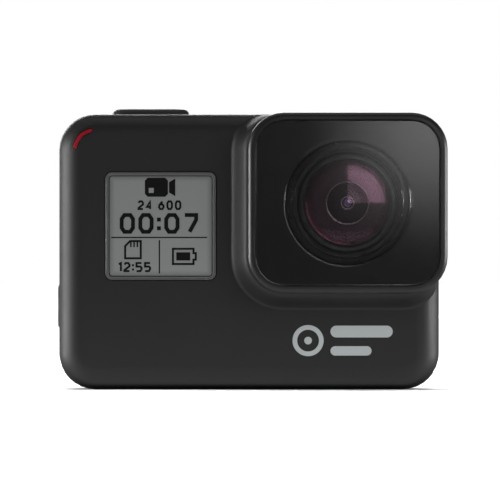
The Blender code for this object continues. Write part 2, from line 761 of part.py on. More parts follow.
def make_rear_shell(maker):
    shape = rounded_block(
        (LEFT, PARTING + SEAM, 0.0), (RIGHT, BACK, TOP),
        CORNER_RADIUS, high_edge=BACK_EDGE, steps=EDGE_STEPS, corner_steps=CORNER_STEPS,
    )
    shell = maker.piece("rear_shell", shape, "housing")
    maker.cut(shell, "rear_room", inner_room(PARTING - OVERCUT, BACK - WALL, back_edge=ROOM_EDGE / 2))
    glass_back = BACK + SCREEN_PROUD - SCREEN_GLASS
    pocket = screen_box(-SEAM, glass_back - SEAM, BACK + OVERCUT, SCREEN_CORNER + SEAM)
    maker.cut(shell, "screen_pocket", pocket)
    window = screen_box(SCREEN_LEDGE, BACK - WALL - OVERCUT, BACK, SCREEN_CORNER / 2)
    maker.cut(shell, "screen_window", window)


def make_rear_screen(maker):
    glass_back = BACK + SCREEN_PROUD - SCREEN_GLASS
    glass = screen_box(0.0, glass_back, BACK + SCREEN_PROUD, SCREEN_CORNER, edge=SCREEN_EDGE)
    maker.piece("rear_screen_glass", glass, "dark_glass")
    panel_back = BACK - WALL - SEAM
    panel = screen_box(SCREEN_PANEL_INSET, panel_back - SCREEN_PANEL, panel_back, SCREEN_PANEL_CORNER)
    maker.piece("rear_screen_panel", panel, "display")


def make_rear_gasket(maker):
    """The flat ring of rubber inside the joint between the two shells."""
    half = GASKET_WIDTH / 2
    outer = WALL + SEAM
    made = maker.piece("rear_gasket", gasket_block(outer, PARTING - half, PARTING + half), "rubber")
    inside = gasket_block(outer + GASKET_THICKNESS, PARTING - half - OVERCUT, PARTING + half + OVERCUT)
    maker.cut(made, "rear_gasket_middle", inside)


def gasket_block(inset, low_y, high_y):
    return rounded_block(
        (LEFT + inset, low_y, inset), (RIGHT - inset, high_y, TOP - inset), CORNER_RADIUS - inset
    )


def make_lcd(maker):
    ring = lcd_box(0.0, FRONT - LCD_PROUD, FRONT + LCD_DEPTH, LCD_CORNER)
    bezel = maker.piece("lcd_bezel", ring, "gloss_black")
    inside = lcd_box(LCD_BAND, FRONT - OVERCUT, FRONT + OVERCUT, LCD_CORNER / 2)
    maker.cut(bezel, "lcd_bezel_middle", inside)
    window = lcd_box(
        LCD_BAND + LCD_WINDOW_GAP, FRONT + LCD_WINDOW_GAP, FRONT + LCD_DEPTH, LCD_CORNER / 2
    )
    maker.piece("lcd_window", window, "display")
    front = FRONT + WALL + SEAM
    panel = lcd_box(LCD_PANEL_INSET, front, front + LCD_PANEL_THICKNESS, LCD_PANEL_CORNER)
    maker.piece("lcd_panel", panel, "display")


def make_status_light(maker, form):
    guide = light_stroke(LIGHT_RADIUS, LIGHT_STROKE, FRONT - OVERCUT, FRONT + WALL + LIGHT_BEHIND)
    made = maker.piece("status_light_guide", guide, "red_light")
    maker.boolean(made, form, "INTERSECT")
    middle = (LIGHT_START + LIGHT_END) / 2
    reach = LIGHT_RADIUS - LIGHT_STROKE
    x = LEFT + CORNER_RADIUS + reach * math.cos(middle)
    z = TOP - CORNER_RADIUS + reach * math.sin(middle)
    y = FRONT + WALL + LIGHT_BEHIND + SEAM
    half = LED_SIDE / 2
    led = rounded_block(
        (x - half, y, z - half), (x - half + LED_LENGTH, y + LED_HEIGHT, z + half), LED_CORNER
    )
    maker.piece("status_led", led, "label")


def make_shutter_button(maker):
    centre = shutter_centre()
    under = TOP - WALL - SEAM
    cap = button_block(
        centre, SHUTTER_LENGTH, SHUTTER_WIDTH, under - BUTTON_FLANGE / 2, TOP + SHUTTER_PROUD, 2,
        edge=SHUTTER_EDGE,
    )
    button = maker.piece("shutter_button", cap, "housing", centre)
    flange = button_block(
        centre, SHUTTER_LENGTH, SHUTTER_WIDTH, under - BUTTON_FLANGE, under, 2, BUTTON_LIP
    )
    maker.boolean(button, maker.cutter("shutter_flange", flange), "UNION")
    make_button_seal(maker, "shutter_button_seal", centre, SHUTTER_LENGTH, SHUTTER_WIDTH, under, 2)
    low = under - BUTTON_FLANGE - SHUTTER_TRAVEL - SEAM
    make_switch(maker, "shutter_switch", centre, low, 2)


def make_mode_button(maker):
    centre = mode_centre()
    under = LEFT + WALL + SEAM
    cap = button_block(
        centre, MODE_LENGTH, MODE_HEIGHT, LEFT - MODE_PROUD, under + BUTTON_FLANGE / 2, 0,
        edge=MODE_EDGE,
    )
    button = maker.piece("mode_button", cap, "housing", centre)
    flange = button_block(
        centre, MODE_LENGTH, MODE_HEIGHT, under, under + BUTTON_FLANGE, 0, BUTTON_LIP
    )
    maker.boolean(button, maker.cutter("mode_flange", flange), "UNION")
    make_button_seal(maker, "mode_button_seal", centre, MODE_LENGTH, MODE_HEIGHT, under, 0)
    low = under + BUTTON_FLANGE + MODE_TRAVEL + SEAM
    make_switch(maker, "mode_switch", centre, low, 0)


def make_button_seal(maker, name, centre, length, width, under, along):
    """A flat ring against the inside of the wall, around the button's flange."""
    away = -1 if along == 2 else 1
    ends = sorted((under, under + away * BUTTON_FLANGE))
    gap = BUTTON_LIP + CLEARANCE
    outer = button_block(centre, length, width, ends[0], ends[1], along, gap + BUTTON_SEAL)
    made = maker.piece(name, outer, "rubber")
    inside = button_block(
        centre, length, width, ends[0] - OVERCUT, ends[1] + OVERCUT, along, gap
    )
    maker.cut(made, name + "_middle", inside)


def make_switch(maker, name, centre, contact, along):
    """A tact switch: a square base with a round plunger that faces the button."""
    away = -1 if along == 2 else 1
    step = SWITCH_STEP
    base = sorted((contact + away * step, contact + away * (step + SWITCH_HEIGHT)))
    half = SWITCH_SIDE / 2
    low, high = [c - half for c in centre], [c + half for c in centre]
    low[along], high[along] = base
    made = maker.piece(name, rounded_block(low, high, SWITCH_CORNER, along=along), "bright_metal")
    ends = sorted((contact, contact + away * 2 * step))
    plunger = rod(centre, SWITCH_PLUNGER, ends[0], ends[1], along=along, steps=FEW_TURN_STEPS)
    maker.boolean(made, maker.cutter(name + "_plunger", plunger), "UNION")


def door_knuckle(x, z):
    return rod((x, 0.0, z), KNUCKLE_RADIUS, DOOR_FRONT, DOOR_BACK)


def make_door(maker, name, plate, x, z, form):
    """A door plate with a bored knuckle, trimmed to the housing's outer form."""
    door = maker.piece(name, plate, "housing", (x, 0.0, z))
    maker.boolean(door, maker.cutter(name + "_knuckle", door_knuckle(x, z)), "UNION")
    maker.boolean(door, form, "INTERSECT")
    bore = rod(
        (x, 0.0, z), PIN_RADIUS + SEAM, DOOR_FRONT - OVERCUT, DOOR_BACK + OVERCUT, steps=FEW_TURN_STEPS
    )
    maker.cut(door, name + "_bore", bore)
    pin = rod(
        (x, 0.0, z), PIN_RADIUS,
        DOOR_FRONT - CLEARANCE - PIN_GRIP, DOOR_BACK + CLEARANCE + PIN_GRIP, steps=FEW_TURN_STEPS,
    )
    maker.piece(name + "_pin", pin, "bright_metal", (x, 0.0, z))
    return door


def make_battery_door(maker, form):
    x, z = BATTERY_PIN_X, BATTERY_PIN_Z
    free_end = x + BATTERY_DOOR_LENGTH
    plate = rounded_block((x, DOOR_FRONT, -OVERCUT), (free_end, DOOR_BACK, DOOR_THICKNESS))
    door = make_door(maker, "battery_door", plate, x, z, form)
    inner = DOOR_THICKNESS + SEAL_GAP
    margin = SEAL_FROM_EDGE
    low = Vector((x + KNUCKLE_RADIUS + margin, DOOR_FRONT + margin, inner))
    high = Vector((free_end - margin, DOOR_BACK - margin, inner + SEAL_THICKNESS))
    make_door_seal(maker, "battery_door_seal", low, high, 2, (x, 0.0, z))
    latch_end = free_end - BATTERY_LATCH_FROM_END
    half = BATTERY_LATCH_WIDTH / 2
    low = Vector((latch_end - BATTERY_LATCH_LENGTH, MIDDLE_Y - half, LATCH_SUNK))
    high = Vector((latch_end, MIDDLE_Y + half, inner + SEAL_GAP))
    make_latch(maker, "battery_door_latch", door, low, high, 2, Vector((-1.0, 0.0, 0.0)))


def make_side_door(maker, form):
    x, z = SIDE_PIN_X, SIDE_PIN_Z
    top = z + SIDE_DOOR_HEIGHT
    plate = rounded_block((RIGHT - DOOR_THICKNESS, DOOR_FRONT, z), (RIGHT + OVERCUT, DOOR_BACK, top))
    door = make_door(maker, "side_door", plate, x, z, form)
    inner = RIGHT - DOOR_THICKNESS - SEAL_GAP
    margin, end_margin = SIDE_SEAL_FROM_EDGE, SIDE_SEAL_FROM_END
    low = Vector((inner - SEAL_THICKNESS, DOOR_FRONT + margin, z + KNUCKLE_RADIUS + end_margin))
    high = Vector((inner, DOOR_BACK - margin, top - end_margin))
    make_door_seal(maker, "side_door_seal", low, high, 0, (x, 0.0, z))
    latch_top = top - SIDE_LATCH_FROM_END
    half = SIDE_LATCH_WIDTH / 2
    low = Vector((inner - SEAL_GAP, MIDDLE_Y - half, latch_top - SIDE_LATCH_LENGTH))
    high = Vector((RIGHT - LATCH_SUNK, MIDDLE_Y + half, latch_top))
    make_latch(maker, "side_door_latch", door, low, high, 0, Vector((0.0, 0.0, -1.0)))


def make_door_seal(maker, name, low, high, across, origin):
    """A rectangular rubber ring on the inner face of a door."""
    made = maker.piece(name, rounded_block(low, high, DOOR_CORNER, along=across), "rubber", origin)
    inset = Vector((SEAL_BAND, SEAL_BAND, SEAL_BAND))
    inset[across] = -OVERCUT
    inside = rounded_block(low + inset, high - inset, DOOR_CORNER - SEAL_BAND, along=across)
    maker.cut(made, name + "_middle", inside)


def make_latch(maker, name, door, low, high, across, pull):
    """A sliding catch in a slot of the door, held by a flange on the door's inner face."""
    ahead = pull * LATCH_TRAVEL
    gap = Vector((SEAM, SEAM, SEAM))
    gap[across] = OVERCUT
    slot_low = Vector(map(min, low, low + ahead)) - gap
    slot_high = Vector(map(max, high, high + ahead)) + gap
    maker.cut(door, name + "_slot", rounded_block(slot_low, slot_high, LATCH_CORNER, along=across))
    latch = maker.piece(name, rounded_block(low, high, LATCH_CORNER, along=across), "housing", low)
    lip = Vector((LATCH_LIP, LATCH_LIP, LATCH_LIP))
    flange_low = low - lip + pull * (LATCH_TRAVEL - SEAM)
    flange_high = high + lip
    if across == 2:
        flange_low.z = high.z - LATCH_OVERLAP
        flange_high.z = high.z + LATCH_FLANGE
    else:
        flange_low.x = low.x - LATCH_FLANGE
        flange_high.x = low.x + LATCH_OVERLAP
    flange = rounded_block(flange_low, flange_high, LATCH_CORNER, along=across)
    maker.boolean(latch, maker.cutter(name + "_flange", flange), "UNION")


def make_battery_bay(maker):
    outer = rounded_block(
        (BAY_LEFT, BAY_FRONT, BAY_FLOOR), (BAY_RIGHT, BAY_BACK, BAY_TOP), BAY_CORNER, along=2
    )
    bay = maker.piece("battery_bay", outer, "housing")
    inside = rounded_block(
        (BAY_LEFT + BAY_WALL, BAY_FRONT + BAY_WALL, BAY_FLOOR - OVERCUT),
        (BAY_RIGHT - BAY_WALL, BAY_BACK - BAY_WALL, BAY_TOP - BAY_WALL),
        BAY_CORNER - BAY_WALL, along=2,
    )
    maker.cut(bay, "battery_room", inside)
    low = Vector((BAY_LEFT, BAY_FRONT, BATTERY_FLOOR))
    low += Vector((BAY_WALL + SEAM, BAY_WALL + SEAM, 0.0))
    high = low + Vector((BATTERY_WIDTH, BATTERY_THICKNESS, BATTERY_HEIGHT))
    battery = rounded_block(
        low, high, BATTERY_CORNER, along=2, low_edge=BATTERY_EDGE, high_edge=BATTERY_EDGE
    )
    maker.piece("battery", battery, "label")
    tab_end = high.x - TAB_FROM_END
    tab_top = BATTERY_FLOOR - SEAM
    tab_low = Vector((tab_end - TAB_LENGTH, low.y + TAB_FROM_SIDE, tab_top - TAB_THICKNESS))
    tab_high = Vector((tab_end, high.y - TAB_FROM_SIDE, tab_top))
    maker.piece("battery_pull_tab", rounded_block(tab_low, tab_high, TAB_CORNER, along=2), "red_light")
    start = low.x + CONTACTS_FROM_END
    contact_low = Vector((start, low.y + CONTACTS_FROM_SIDE, high.z + SEAM))
    contact_high = Vector(
        (start + CONTACTS_LENGTH, high.y - CONTACTS_FROM_SIDE, BAY_TOP - BAY_WALL - SEAM)
    )
    contacts = rounded_block(contact_low, contact_high, CONTACTS_CORNER, along=2)
    maker.piece("battery_contacts", contacts, "gold_metal")


def make_memory_card(maker):
    card_back = BAY_FRONT - SOCKET_WALL - 2 * SEAM
    card_low = Vector((LEFT + CARD_FROM_LEFT, card_back - CARD_THICKNESS, BAY_FLOOR))
    card_high = card_low + Vector((CARD_WIDTH, CARD_THICKNESS, CARD_HEIGHT))
    maker.piece("memory_card", rounded_block(card_low, card_high, CARD_CORNER, along=2), "chip")
    wall = Vector((SOCKET_WALL + SEAM, SOCKET_WALL + SEAM, 0.0))
    low, high = card_low - wall, card_high + wall
    low.z = BAY_FLOOR + CARD_GRIP
    high.z = card_high.z + SEAM
    socket = maker.piece("card_socket", rounded_block(low, high), "bright_metal")
    gap = Vector((SEAM, SEAM, OVERCUT))
    slot = rounded_block(card_low - gap, card_high + gap)
    maker.cut(socket, "card_slot", slot)


def board_outline(low_y, high_y, grow=0.0):
    margin = WALL + BOARD_MARGIN
    return rounded_block(
        (LEFT + margin - grow, low_y, BOARD_FLOOR - grow),
        (RIGHT - margin + grow, high_y, TOP - margin + grow), BOARD_CORNER,
    )


def screw_places():
    margin = WALL + BOARD_MARGIN + SCREW_FROM_EDGE
    xs = (LEFT + margin, RIGHT - margin)
    zs = (BOARD_FLOOR + SCREW_FROM_EDGE, TOP - margin)
    return [(x, z) for z in zs for x in xs]


def make_boards(maker):
    frame = maker.piece(
        "inner_frame", board_outline(FRAME_FRONT, FRAME_FRONT + FRAME_THICKNESS), "frame_metal"
    )
    window = rounded_block(
        (LENS_X - SENSOR_BOARD_SIDE / 2, FRAME_FRONT - OVERCUT, LENS_Z - SENSOR_BOARD_SIDE / 2),
        (LENS_X + SENSOR_BOARD_SIDE / 2, FRAME_FRONT + 2 * OVERCUT, LENS_Z + FRAME_WINDOW_ABOVE_LENS),
        FRAME_WINDOW_CORNER,
    )
    maker.cut(frame, "frame_window", window)
    board = maker.piece("main_board", board_outline(BOARD_FRONT, BOARD_BACK), "board")
    for i, (x, z) in enumerate(screw_places()):
        shank_end = FRAME_FRONT + SCREW_SUNK
        hole = rod(
            (x, 0.0, z), SCREW_RADIUS + SEAM, FRAME_FRONT - OVERCUT, BOARD_BACK + OVERCUT,
            steps=FEW_TURN_STEPS,
        )
        cutter = maker.cut(frame, f"screw_hole_{i + 1}", hole)
        maker.boolean(board, cutter)
        head = BOARD_BACK + SCREW_HEAD_GAP
        profile = (
            (0.0, head + SCREW_HEAD), (SCREW_HEAD_RADIUS, head + SCREW_HEAD),
            (SCREW_HEAD_RADIUS, head), (SCREW_RADIUS, head),
            (SCREW_RADIUS, shank_end), (0.0, shank_end),
        )
        screw = f"frame_screw_{i + 1}"
        maker.turned(screw, profile[::-1], "bright_metal", (x, 0.0, z), FEW_TURN_STEPS)
    middle_x = (BAY_LEFT + BAY_RIGHT) / 2
    middle_z = (BOARD_FLOOR + TOP) / 2
    half = CHIP_SIDE / 2
    low = Vector((middle_x - half, BOARD_BACK + SEAM, middle_z - half))
    high = Vector((middle_x + half, CHIP_BACK, middle_z + half))
    maker.piece("processor", rounded_block(low, high, CHIP_CORNER), "chip")
    spread = Vector((SPREADER_REACH, 0.0, SPREADER_REACH))
    low, high = low - spread, high + spread
    low.y = CHIP_BACK + SPREADER_GAP
    high.y = low.y + SPREADER_THICKNESS
    maker.piece("heat_spreader", rounded_block(low, high, SPREADER_CORNER), "frame_metal")


def make_lens_holder(maker):
    flange_front = FRONT + WALL + SEAM
    half = HOLDER_FLANGE / 2
    flange = rounded_block(
        (LENS_X - half, flange_front, LENS_Z - half),
        (LENS_X + half, flange_front + HOLDER_FLANGE_THICKNESS, LENS_Z + half), HOLDER_CORNER,
    )
    holder = maker.piece("lens_holder", flange, "chip")
    neck = rod(
        (LENS_X, 0.0, LENS_Z), HOLDER_NECK_RADIUS,
        COVER_BACK + HOLDER_NECK_START, flange_front + HOLDER_FLANGE_THICKNESS / 2, steps=TURN_STEPS,
    )
    maker.boolean(holder, maker.cutter("holder_neck", neck), "UNION")
    tube_back = BARREL_FACE + BARREL_LENGTH + SENSOR_THICKNESS + SEAM
    tube = rod((LENS_X, 0.0, LENS_Z), HOLDER_TUBE_RADIUS, flange_front, tube_back, steps=TURN_STEPS)
    maker.boolean(holder, maker.cutter("holder_tube", tube), "UNION")
    bore = rod(
        (LENS_X, 0.0, LENS_Z), BARREL_RADIUS + SEAM,
        COVER_BACK - OVERCUT, tube_back + OVERCUT, steps=TURN_STEPS,
    )
    maker.cut(holder, "holder_bore", bore)
    return tube_back


def sphere_profile(rim, height, rim_y, steps=DOME_STEPS):
    """Radius and Y of a dome from its tip to its rim, bulging towards -Y."""
    ball = (rim * rim + height * height) / (2 * height)
    widest = math.asin(rim / ball)
    points = []
    for step in range(steps + 1):
        angle = widest * step / steps
        points.append((ball * math.sin(angle), rim_y - height + ball * (1 - math.cos(angle))))
    return points


def make_lens(maker):
    ring_outer = COVER_WINDOW_RADIUS - CLEARANCE
    ring_front = BARREL_FACE - BEZEL_AHEAD
    ring_back = COVER_BACK + HOLDER_NECK_START - BEZEL_GAP
    ring = (
        (ring_outer - BEZEL_WALL, ring_front), (ring_outer - BEZEL_EDGE, ring_front),
        (ring_outer, ring_front + BEZEL_EDGE), (ring_outer, ring_back),
        (ring_outer - BEZEL_WALL, ring_back),
    )
    maker.turned("lens_bezel_ring", ring, "gloss_black", closed=True)

    seat = BARREL_FACE + DOME_SEAT
    barrel_back = BARREL_FACE + BARREL_LENGTH
    rear_seat = barrel_back - REAR_ELEMENT_THICKNESS - BARREL_REAR_RIM
    barrel = (
        (DOME_RADIUS + SEAM, BARREL_FACE), (BARREL_RADIUS - BARREL_EDGE, BARREL_FACE + BARREL_SLOPE),
        (BARREL_RADIUS, BARREL_FACE + BARREL_SLOPE + BARREL_EDGE), (BARREL_RADIUS, barrel_back),
        (REAR_ELEMENT_RADIUS + SEAM, barrel_back), (REAR_ELEMENT_RADIUS + SEAM, rear_seat),
        (IRIS_RADIUS, rear_seat), (IRIS_RADIUS, seat), (DOME_RADIUS + SEAM, seat),
    )
    maker.turned("lens_barrel", barrel, "chip", closed=True)

    dome = sphere_profile(DOME_RADIUS, DOME_HEIGHT, BARREL_FACE)
    dome_back = seat - IRIS_THICKNESS - SEAM
    dome += [(DOME_RADIUS, dome_back), (0.0, dome_back)]
    maker.turned("lens_front_element", dome, "coated_glass")

    iris = (
        (IRIS_RADIUS - IRIS_LIP, seat - IRIS_THICKNESS), (DOME_RADIUS, seat - IRIS_THICKNESS),
        (DOME_RADIUS, seat - SEAM), (IRIS_RADIUS - IRIS_LIP, seat - SEAM),
    )
    maker.turned("lens_inner_ring", iris, "chip", closed=True)

    rear = sphere_profile(REAR_ELEMENT_RADIUS, REAR_ELEMENT_RISE, rear_seat + REAR_ELEMENT_RISE + SEAM)
    rear_back = rear_seat + SEAM + REAR_ELEMENT_THICKNESS
    rear += [(REAR_ELEMENT_RADIUS, rear_back), (0.0, rear_back)]
    maker.turned("lens_rear_element", rear, "coated_glass")


def make_sensor(maker, tube_back):
    face = BARREL_FACE + BARREL_LENGTH + SEAM
    low = (LENS_X - SENSOR_WIDTH / 2, face, LENS_Z - SENSOR_HEIGHT / 2)
    high = (LENS_X + SENSOR_WIDTH / 2, face + SENSOR_THICKNESS - SEAM, LENS_Z + SENSOR_HEIGHT / 2)
    maker.piece("image_sensor", rounded_block(low, high, SENSOR_CORNER), "dark_glass")
    half = SENSOR_BOARD_SIDE / 2
    board_front = tube_back + SEAM
    board_back = board_front + BOARD_THICKNESS
    low = (LENS_X - half, board_front, LENS_Z - half)
    high = (LENS_X + half, board_back, LENS_Z + half)
    maker.piece("sensor_board", rounded_block(low, high, SENSOR_BOARD_CORNER), "board")
    flex_low = LENS_Z - half + FLEX_FROM_EDGE
    flex = rounded_block(
        (LENS_X - FLEX_WIDTH / 2, board_back + SEAM, flex_low),
        (LENS_X + FLEX_WIDTH / 2, BOARD_FRONT - SEAM, flex_low + FLEX_THICKNESS),
    )
    maker.piece("sensor_flex_cable", flex, "gold_metal")


def make_lens_cover(maker):
    frame = maker.piece(
        "lens_cover_frame",
        rounded_block(
            (COVER_LEFT, COVER_FACE, COVER_BOTTOM), (COVER_RIGHT, COVER_BACK, COVER_TOP),
            COVER_CORNER, low_edge=COVER_EDGE, high_edge=COVER_BACK_EDGE,
            steps=EDGE_STEPS, corner_steps=CORNER_STEPS,
        ),
        "housing", (LENS_X, COVER_BACK, LENS_Z),
    )
    collar = rod(
        (LENS_X, 0.0, LENS_Z), COLLAR_RADIUS, COVER_BACK - OVERCUT, COVER_BACK + COLLAR_DEPTH,
        steps=TURN_STEPS,
    )
    maker.boolean(frame, maker.cutter("cover_collar", collar), "UNION")
    pocket = cover_glass_block(SEAM, COVER_FACE - OVERCUT, GLASS_BACK + COVER_GLASS_SUNK)
    maker.cut(frame, "cover_glass_pocket", pocket)
    window = rod(
        (LENS_X, 0.0, LENS_Z), COVER_WINDOW_RADIUS, COVER_FACE, COVER_BACK + OVERCUT, steps=TURN_STEPS
    )
    maker.cut(frame, "cover_window", window)
    inside = rod(
        (LENS_X, 0.0, LENS_Z), COLLAR_RADIUS - COLLAR_WALL,
        COVER_BACK - COLLAR_FLOOR, COVER_BACK + COLLAR_DEPTH + OVERCUT, steps=TURN_STEPS,
    )
    maker.cut(frame, "cover_collar_middle", inside)
    glass = cover_glass_block(0.0, COVER_FACE + COVER_GLASS_SUNK, GLASS_BACK)
    maker.piece("lens_cover_glass", glass, "dark_glass", (LENS_X, COVER_BACK, LENS_Z))
    seal_outer = COLLAR_RADIUS - COLLAR_WALL - SEAM
    seal_inner = HOLDER_NECK_RADIUS + SEAM
    low = COVER_BACK + COVER_SEAL_DEPTH
    high = low + COVER_SEAL_THICKNESS
    seal = (
        (seal_inner, low), (seal_outer, low), (seal_outer, high), (seal_inner, high),
    )
    maker.turned("lens_cover_seal", seal, "rubber", closed=True)


def cover_glass_block(gap, low_y, high_y):
    inset = COVER_BAND - gap
    return rounded_block(
        (COVER_LEFT + inset, low_y, COVER_BOTTOM + inset),
        (COVER_RIGHT - inset, high_y, COVER_TOP - inset),
        COVER_CORNER - inset,
    )


def make_ports(maker):
    mouth = RIGHT - DOOR_THICKNESS - SEAL_THICKNESS - LATCH_FLANGE - CLEARANCE
    board_top = SIDE_PIN_Z + PIN_RADIUS + PORT_BOARD_OVER_PIN
    start = DOOR_FRONT - PORTS_AHEAD
    hdmi_start = start + USB_WIDTH + CLEARANCE
    board = rounded_block(
        (mouth - PORT_BOARD_LENGTH, start, board_top - PORT_BOARD_THICKNESS),
        (mouth, hdmi_start + HDMI_WIDTH, board_top), PORT_BOARD_CORNER, along=2,
    )
    maker.piece("port_board", board, "board")
    for name, y, width, height in (
        ("usb_port", start, USB_WIDTH, USB_HEIGHT),
        ("hdmi_port", hdmi_start, HDMI_WIDTH, HDMI_HEIGHT),
    ):
        make_port(maker, name, mouth, y, board_top + SEAM, width, height)


def make_port(maker, name, mouth, y, z, width, height):
    """A metal receptacle, open towards the side door, with a tongue down its middle."""
    corner = height * PORT_CORNER_SHARE
    low, high = Vector((mouth - PORT_DEPTH, y, z)), Vector((mouth, y + width, z + height))
    port = maker.piece(name, rounded_block(low, high, corner, along=0), "bright_metal")
    wall = Vector((PORT_BACK_WALL, PORT_WALL, PORT_WALL))
    inside_low, inside_high = low + wall, high - wall
    inside_high.x = mouth + OVERCUT
    maker.cut(port, name + "_mouth", rounded_block(inside_low, inside_high, corner - PORT_WALL, along=0))
    middle = z + height / 2
    side, half = width * TONGUE_SIDE_SHARE, TONGUE_THICKNESS / 2
    tongue = rounded_block(
        (low.x + TONGUE_ROOT, y + side, middle - half),
        (mouth - TONGUE_FROM_MOUTH, y + width - side, middle + half),
    )
    maker.boolean(port, maker.cutter(name + "_tongue", tongue), "UNION")


def make_sound(maker):
    low = speaker_place()
    high = low + Vector((SPEAKER_LENGTH, SPEAKER_WIDTH, SPEAKER_HEIGHT))
    maker.piece("speaker", rounded_block(low, high, SPEAKER_CORNER, along=2), "chip")
    half = MICROPHONE_SIDE / 2
    top = microphone_top_centre()
    low = (top.x - half, top.y - half, top.z - SEAM - MICROPHONE_HEIGHT)
    high = (top.x + half, top.y + half, top.z - SEAM)
    microphone = rounded_block(low, high, MICROPHONE_CORNER, along=2)
    maker.piece("microphone_top", microphone, "bright_metal")
    side = microphone_side_centre()
    low = (side.x + SEAM, side.y - half, side.z - half)
    high = (side.x + SEAM + MICROPHONE_HEIGHT, side.y + half, side.z + half)
    microphone = rounded_block(low, high, MICROPHONE_CORNER, along=0)
    maker.piece("microphone_side", microphone, "bright_metal")


def make_antenna(maker):
    high_y = FRAME_FRONT - ANTENNA_FROM_FRAME
    high_z = TOP - WALL - SEAM
    low = Vector((BAY_RIGHT + ANTENNA_FROM_BAY, high_y - ANTENNA_WIDTH, high_z - ANTENNA_THICKNESS))
    high = Vector((low.x + ANTENNA_LENGTH, high_y, high_z))
    maker.piece("wifi_antenna", rounded_block(low, high, ANTENNA_CORNER, along=2), "gold_metal")


def main():
    clear_scene()
    maker = Maker()
    form = body_form(maker)
    make_front_shell(maker)
    make_rear_shell(maker)
    make_rear_screen(maker)
    make_rear_gasket(maker)
    make_lcd(maker)
    make_status_light(maker, form)
    make_shutter_button(maker)
    make_mode_button(maker)
    make_battery_door(maker, form)
    make_side_door(maker, form)
    make_battery_bay(maker)
    make_memory_card(maker)
    make_boards(maker)
    tube_back = make_lens_holder(maker)
    make_lens(maker)
    make_sensor(maker, tube_back)
    make_lens_cover(maker)
    make_ports(maker)
    make_sound(maker)
    make_antenna(maker)


main()
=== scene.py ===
"""Finished surfaces of a hand-sized action camera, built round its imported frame.

+X is to the right seen from the front, the lens looks along -Y and +Z is up. Lengths are metres.
Each operator finishes one group of pieces, and main() runs them in order.
"""

import json
import math

import bmesh
import bpy
from bpy.props import FloatProperty, FloatVectorProperty, PointerProperty
from mathutils import Matrix, Vector

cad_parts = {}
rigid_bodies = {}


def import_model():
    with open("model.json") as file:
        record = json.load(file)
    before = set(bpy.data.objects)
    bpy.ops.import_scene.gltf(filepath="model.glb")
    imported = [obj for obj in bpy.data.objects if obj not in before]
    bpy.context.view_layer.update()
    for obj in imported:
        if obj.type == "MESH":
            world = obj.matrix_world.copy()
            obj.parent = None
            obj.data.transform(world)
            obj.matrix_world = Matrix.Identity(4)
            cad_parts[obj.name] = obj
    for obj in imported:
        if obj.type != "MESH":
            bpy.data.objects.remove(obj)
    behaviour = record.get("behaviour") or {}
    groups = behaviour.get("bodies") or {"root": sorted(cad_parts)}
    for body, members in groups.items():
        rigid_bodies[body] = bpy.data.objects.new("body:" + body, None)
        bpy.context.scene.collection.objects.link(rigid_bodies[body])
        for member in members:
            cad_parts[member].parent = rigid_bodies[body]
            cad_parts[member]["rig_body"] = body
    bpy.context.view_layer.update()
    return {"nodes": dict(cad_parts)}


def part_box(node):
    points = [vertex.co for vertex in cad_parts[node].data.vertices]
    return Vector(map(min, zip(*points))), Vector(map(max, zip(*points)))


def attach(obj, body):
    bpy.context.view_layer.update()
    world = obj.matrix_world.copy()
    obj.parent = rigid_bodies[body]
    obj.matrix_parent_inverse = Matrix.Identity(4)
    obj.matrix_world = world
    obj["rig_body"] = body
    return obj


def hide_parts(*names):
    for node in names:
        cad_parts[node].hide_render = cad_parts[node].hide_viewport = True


bl_info = {
    "name": "Action Camera Finish",
    "version": (1, 0, 0),
    "blender": (4, 5, 0),
    "location": "View3D > Sidebar > Action Camera",
    "description": "Builds the finished housing, lens, screens, doors and stage of an action camera",
    "category": "Object",
}

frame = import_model()

MM = 0.001

# How far pieces stand from what they lie on.
BEZEL_PROUD = 0.05 * MM
SKIN_GAP = 0.02 * MM

# Softened rims of small and inner pieces.
FINE_RIM = 0.05 * MM
SMALL_RIM = 0.08 * MM

# How much lighter and smoother a worn rim is than the rest of its piece. The lightening is partly a painted
# sheen on the rims.
RIM_SHEEN_LIGHTER = 2.6
WORN_SMOOTHER = 0.12

# How strongly grain and tool lines show.
GRAIN_STRENGTH = 0.6
LINE_STRENGTH = 0.5

# Colour of the floor in the light that it gives back, and the two tones that it shows.
FLOOR_BOUNCE = (0.14, 0.14, 0.14, 1.0)
FLOOR_TONES = ((0.86, 0.86, 0.86, 1.0), (0.9, 0.9, 0.9, 1.0))
WHITE = (1.0, 1.0, 1.0, 1.0)

# How finely round shapes are made.
TURN_STEPS = 96
CORNER_STEPS = 10
EDGE_STEPS = 4
LEAST_CORNER = 0.01 * MM

# Points of a frame node closer than this are one, and faces flatter than this are one.
WELD_DISTANCE = 0.001 * MM
FLAT_DEGREES = 0.4
RIM_DEGREES = 32

# Fixed places, worked out from the frame.
FACE_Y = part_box("lcd_bezel")[0].y + BEZEL_PROUD
COVER_LOW, COVER_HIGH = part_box("lens_cover_frame")
LENS = Vector(((COVER_LOW.x + COVER_HIGH.x) / 2, 0.0, (COVER_LOW.z + COVER_HIGH.z) / 2))


# ---------------------------------------------------------------- settings

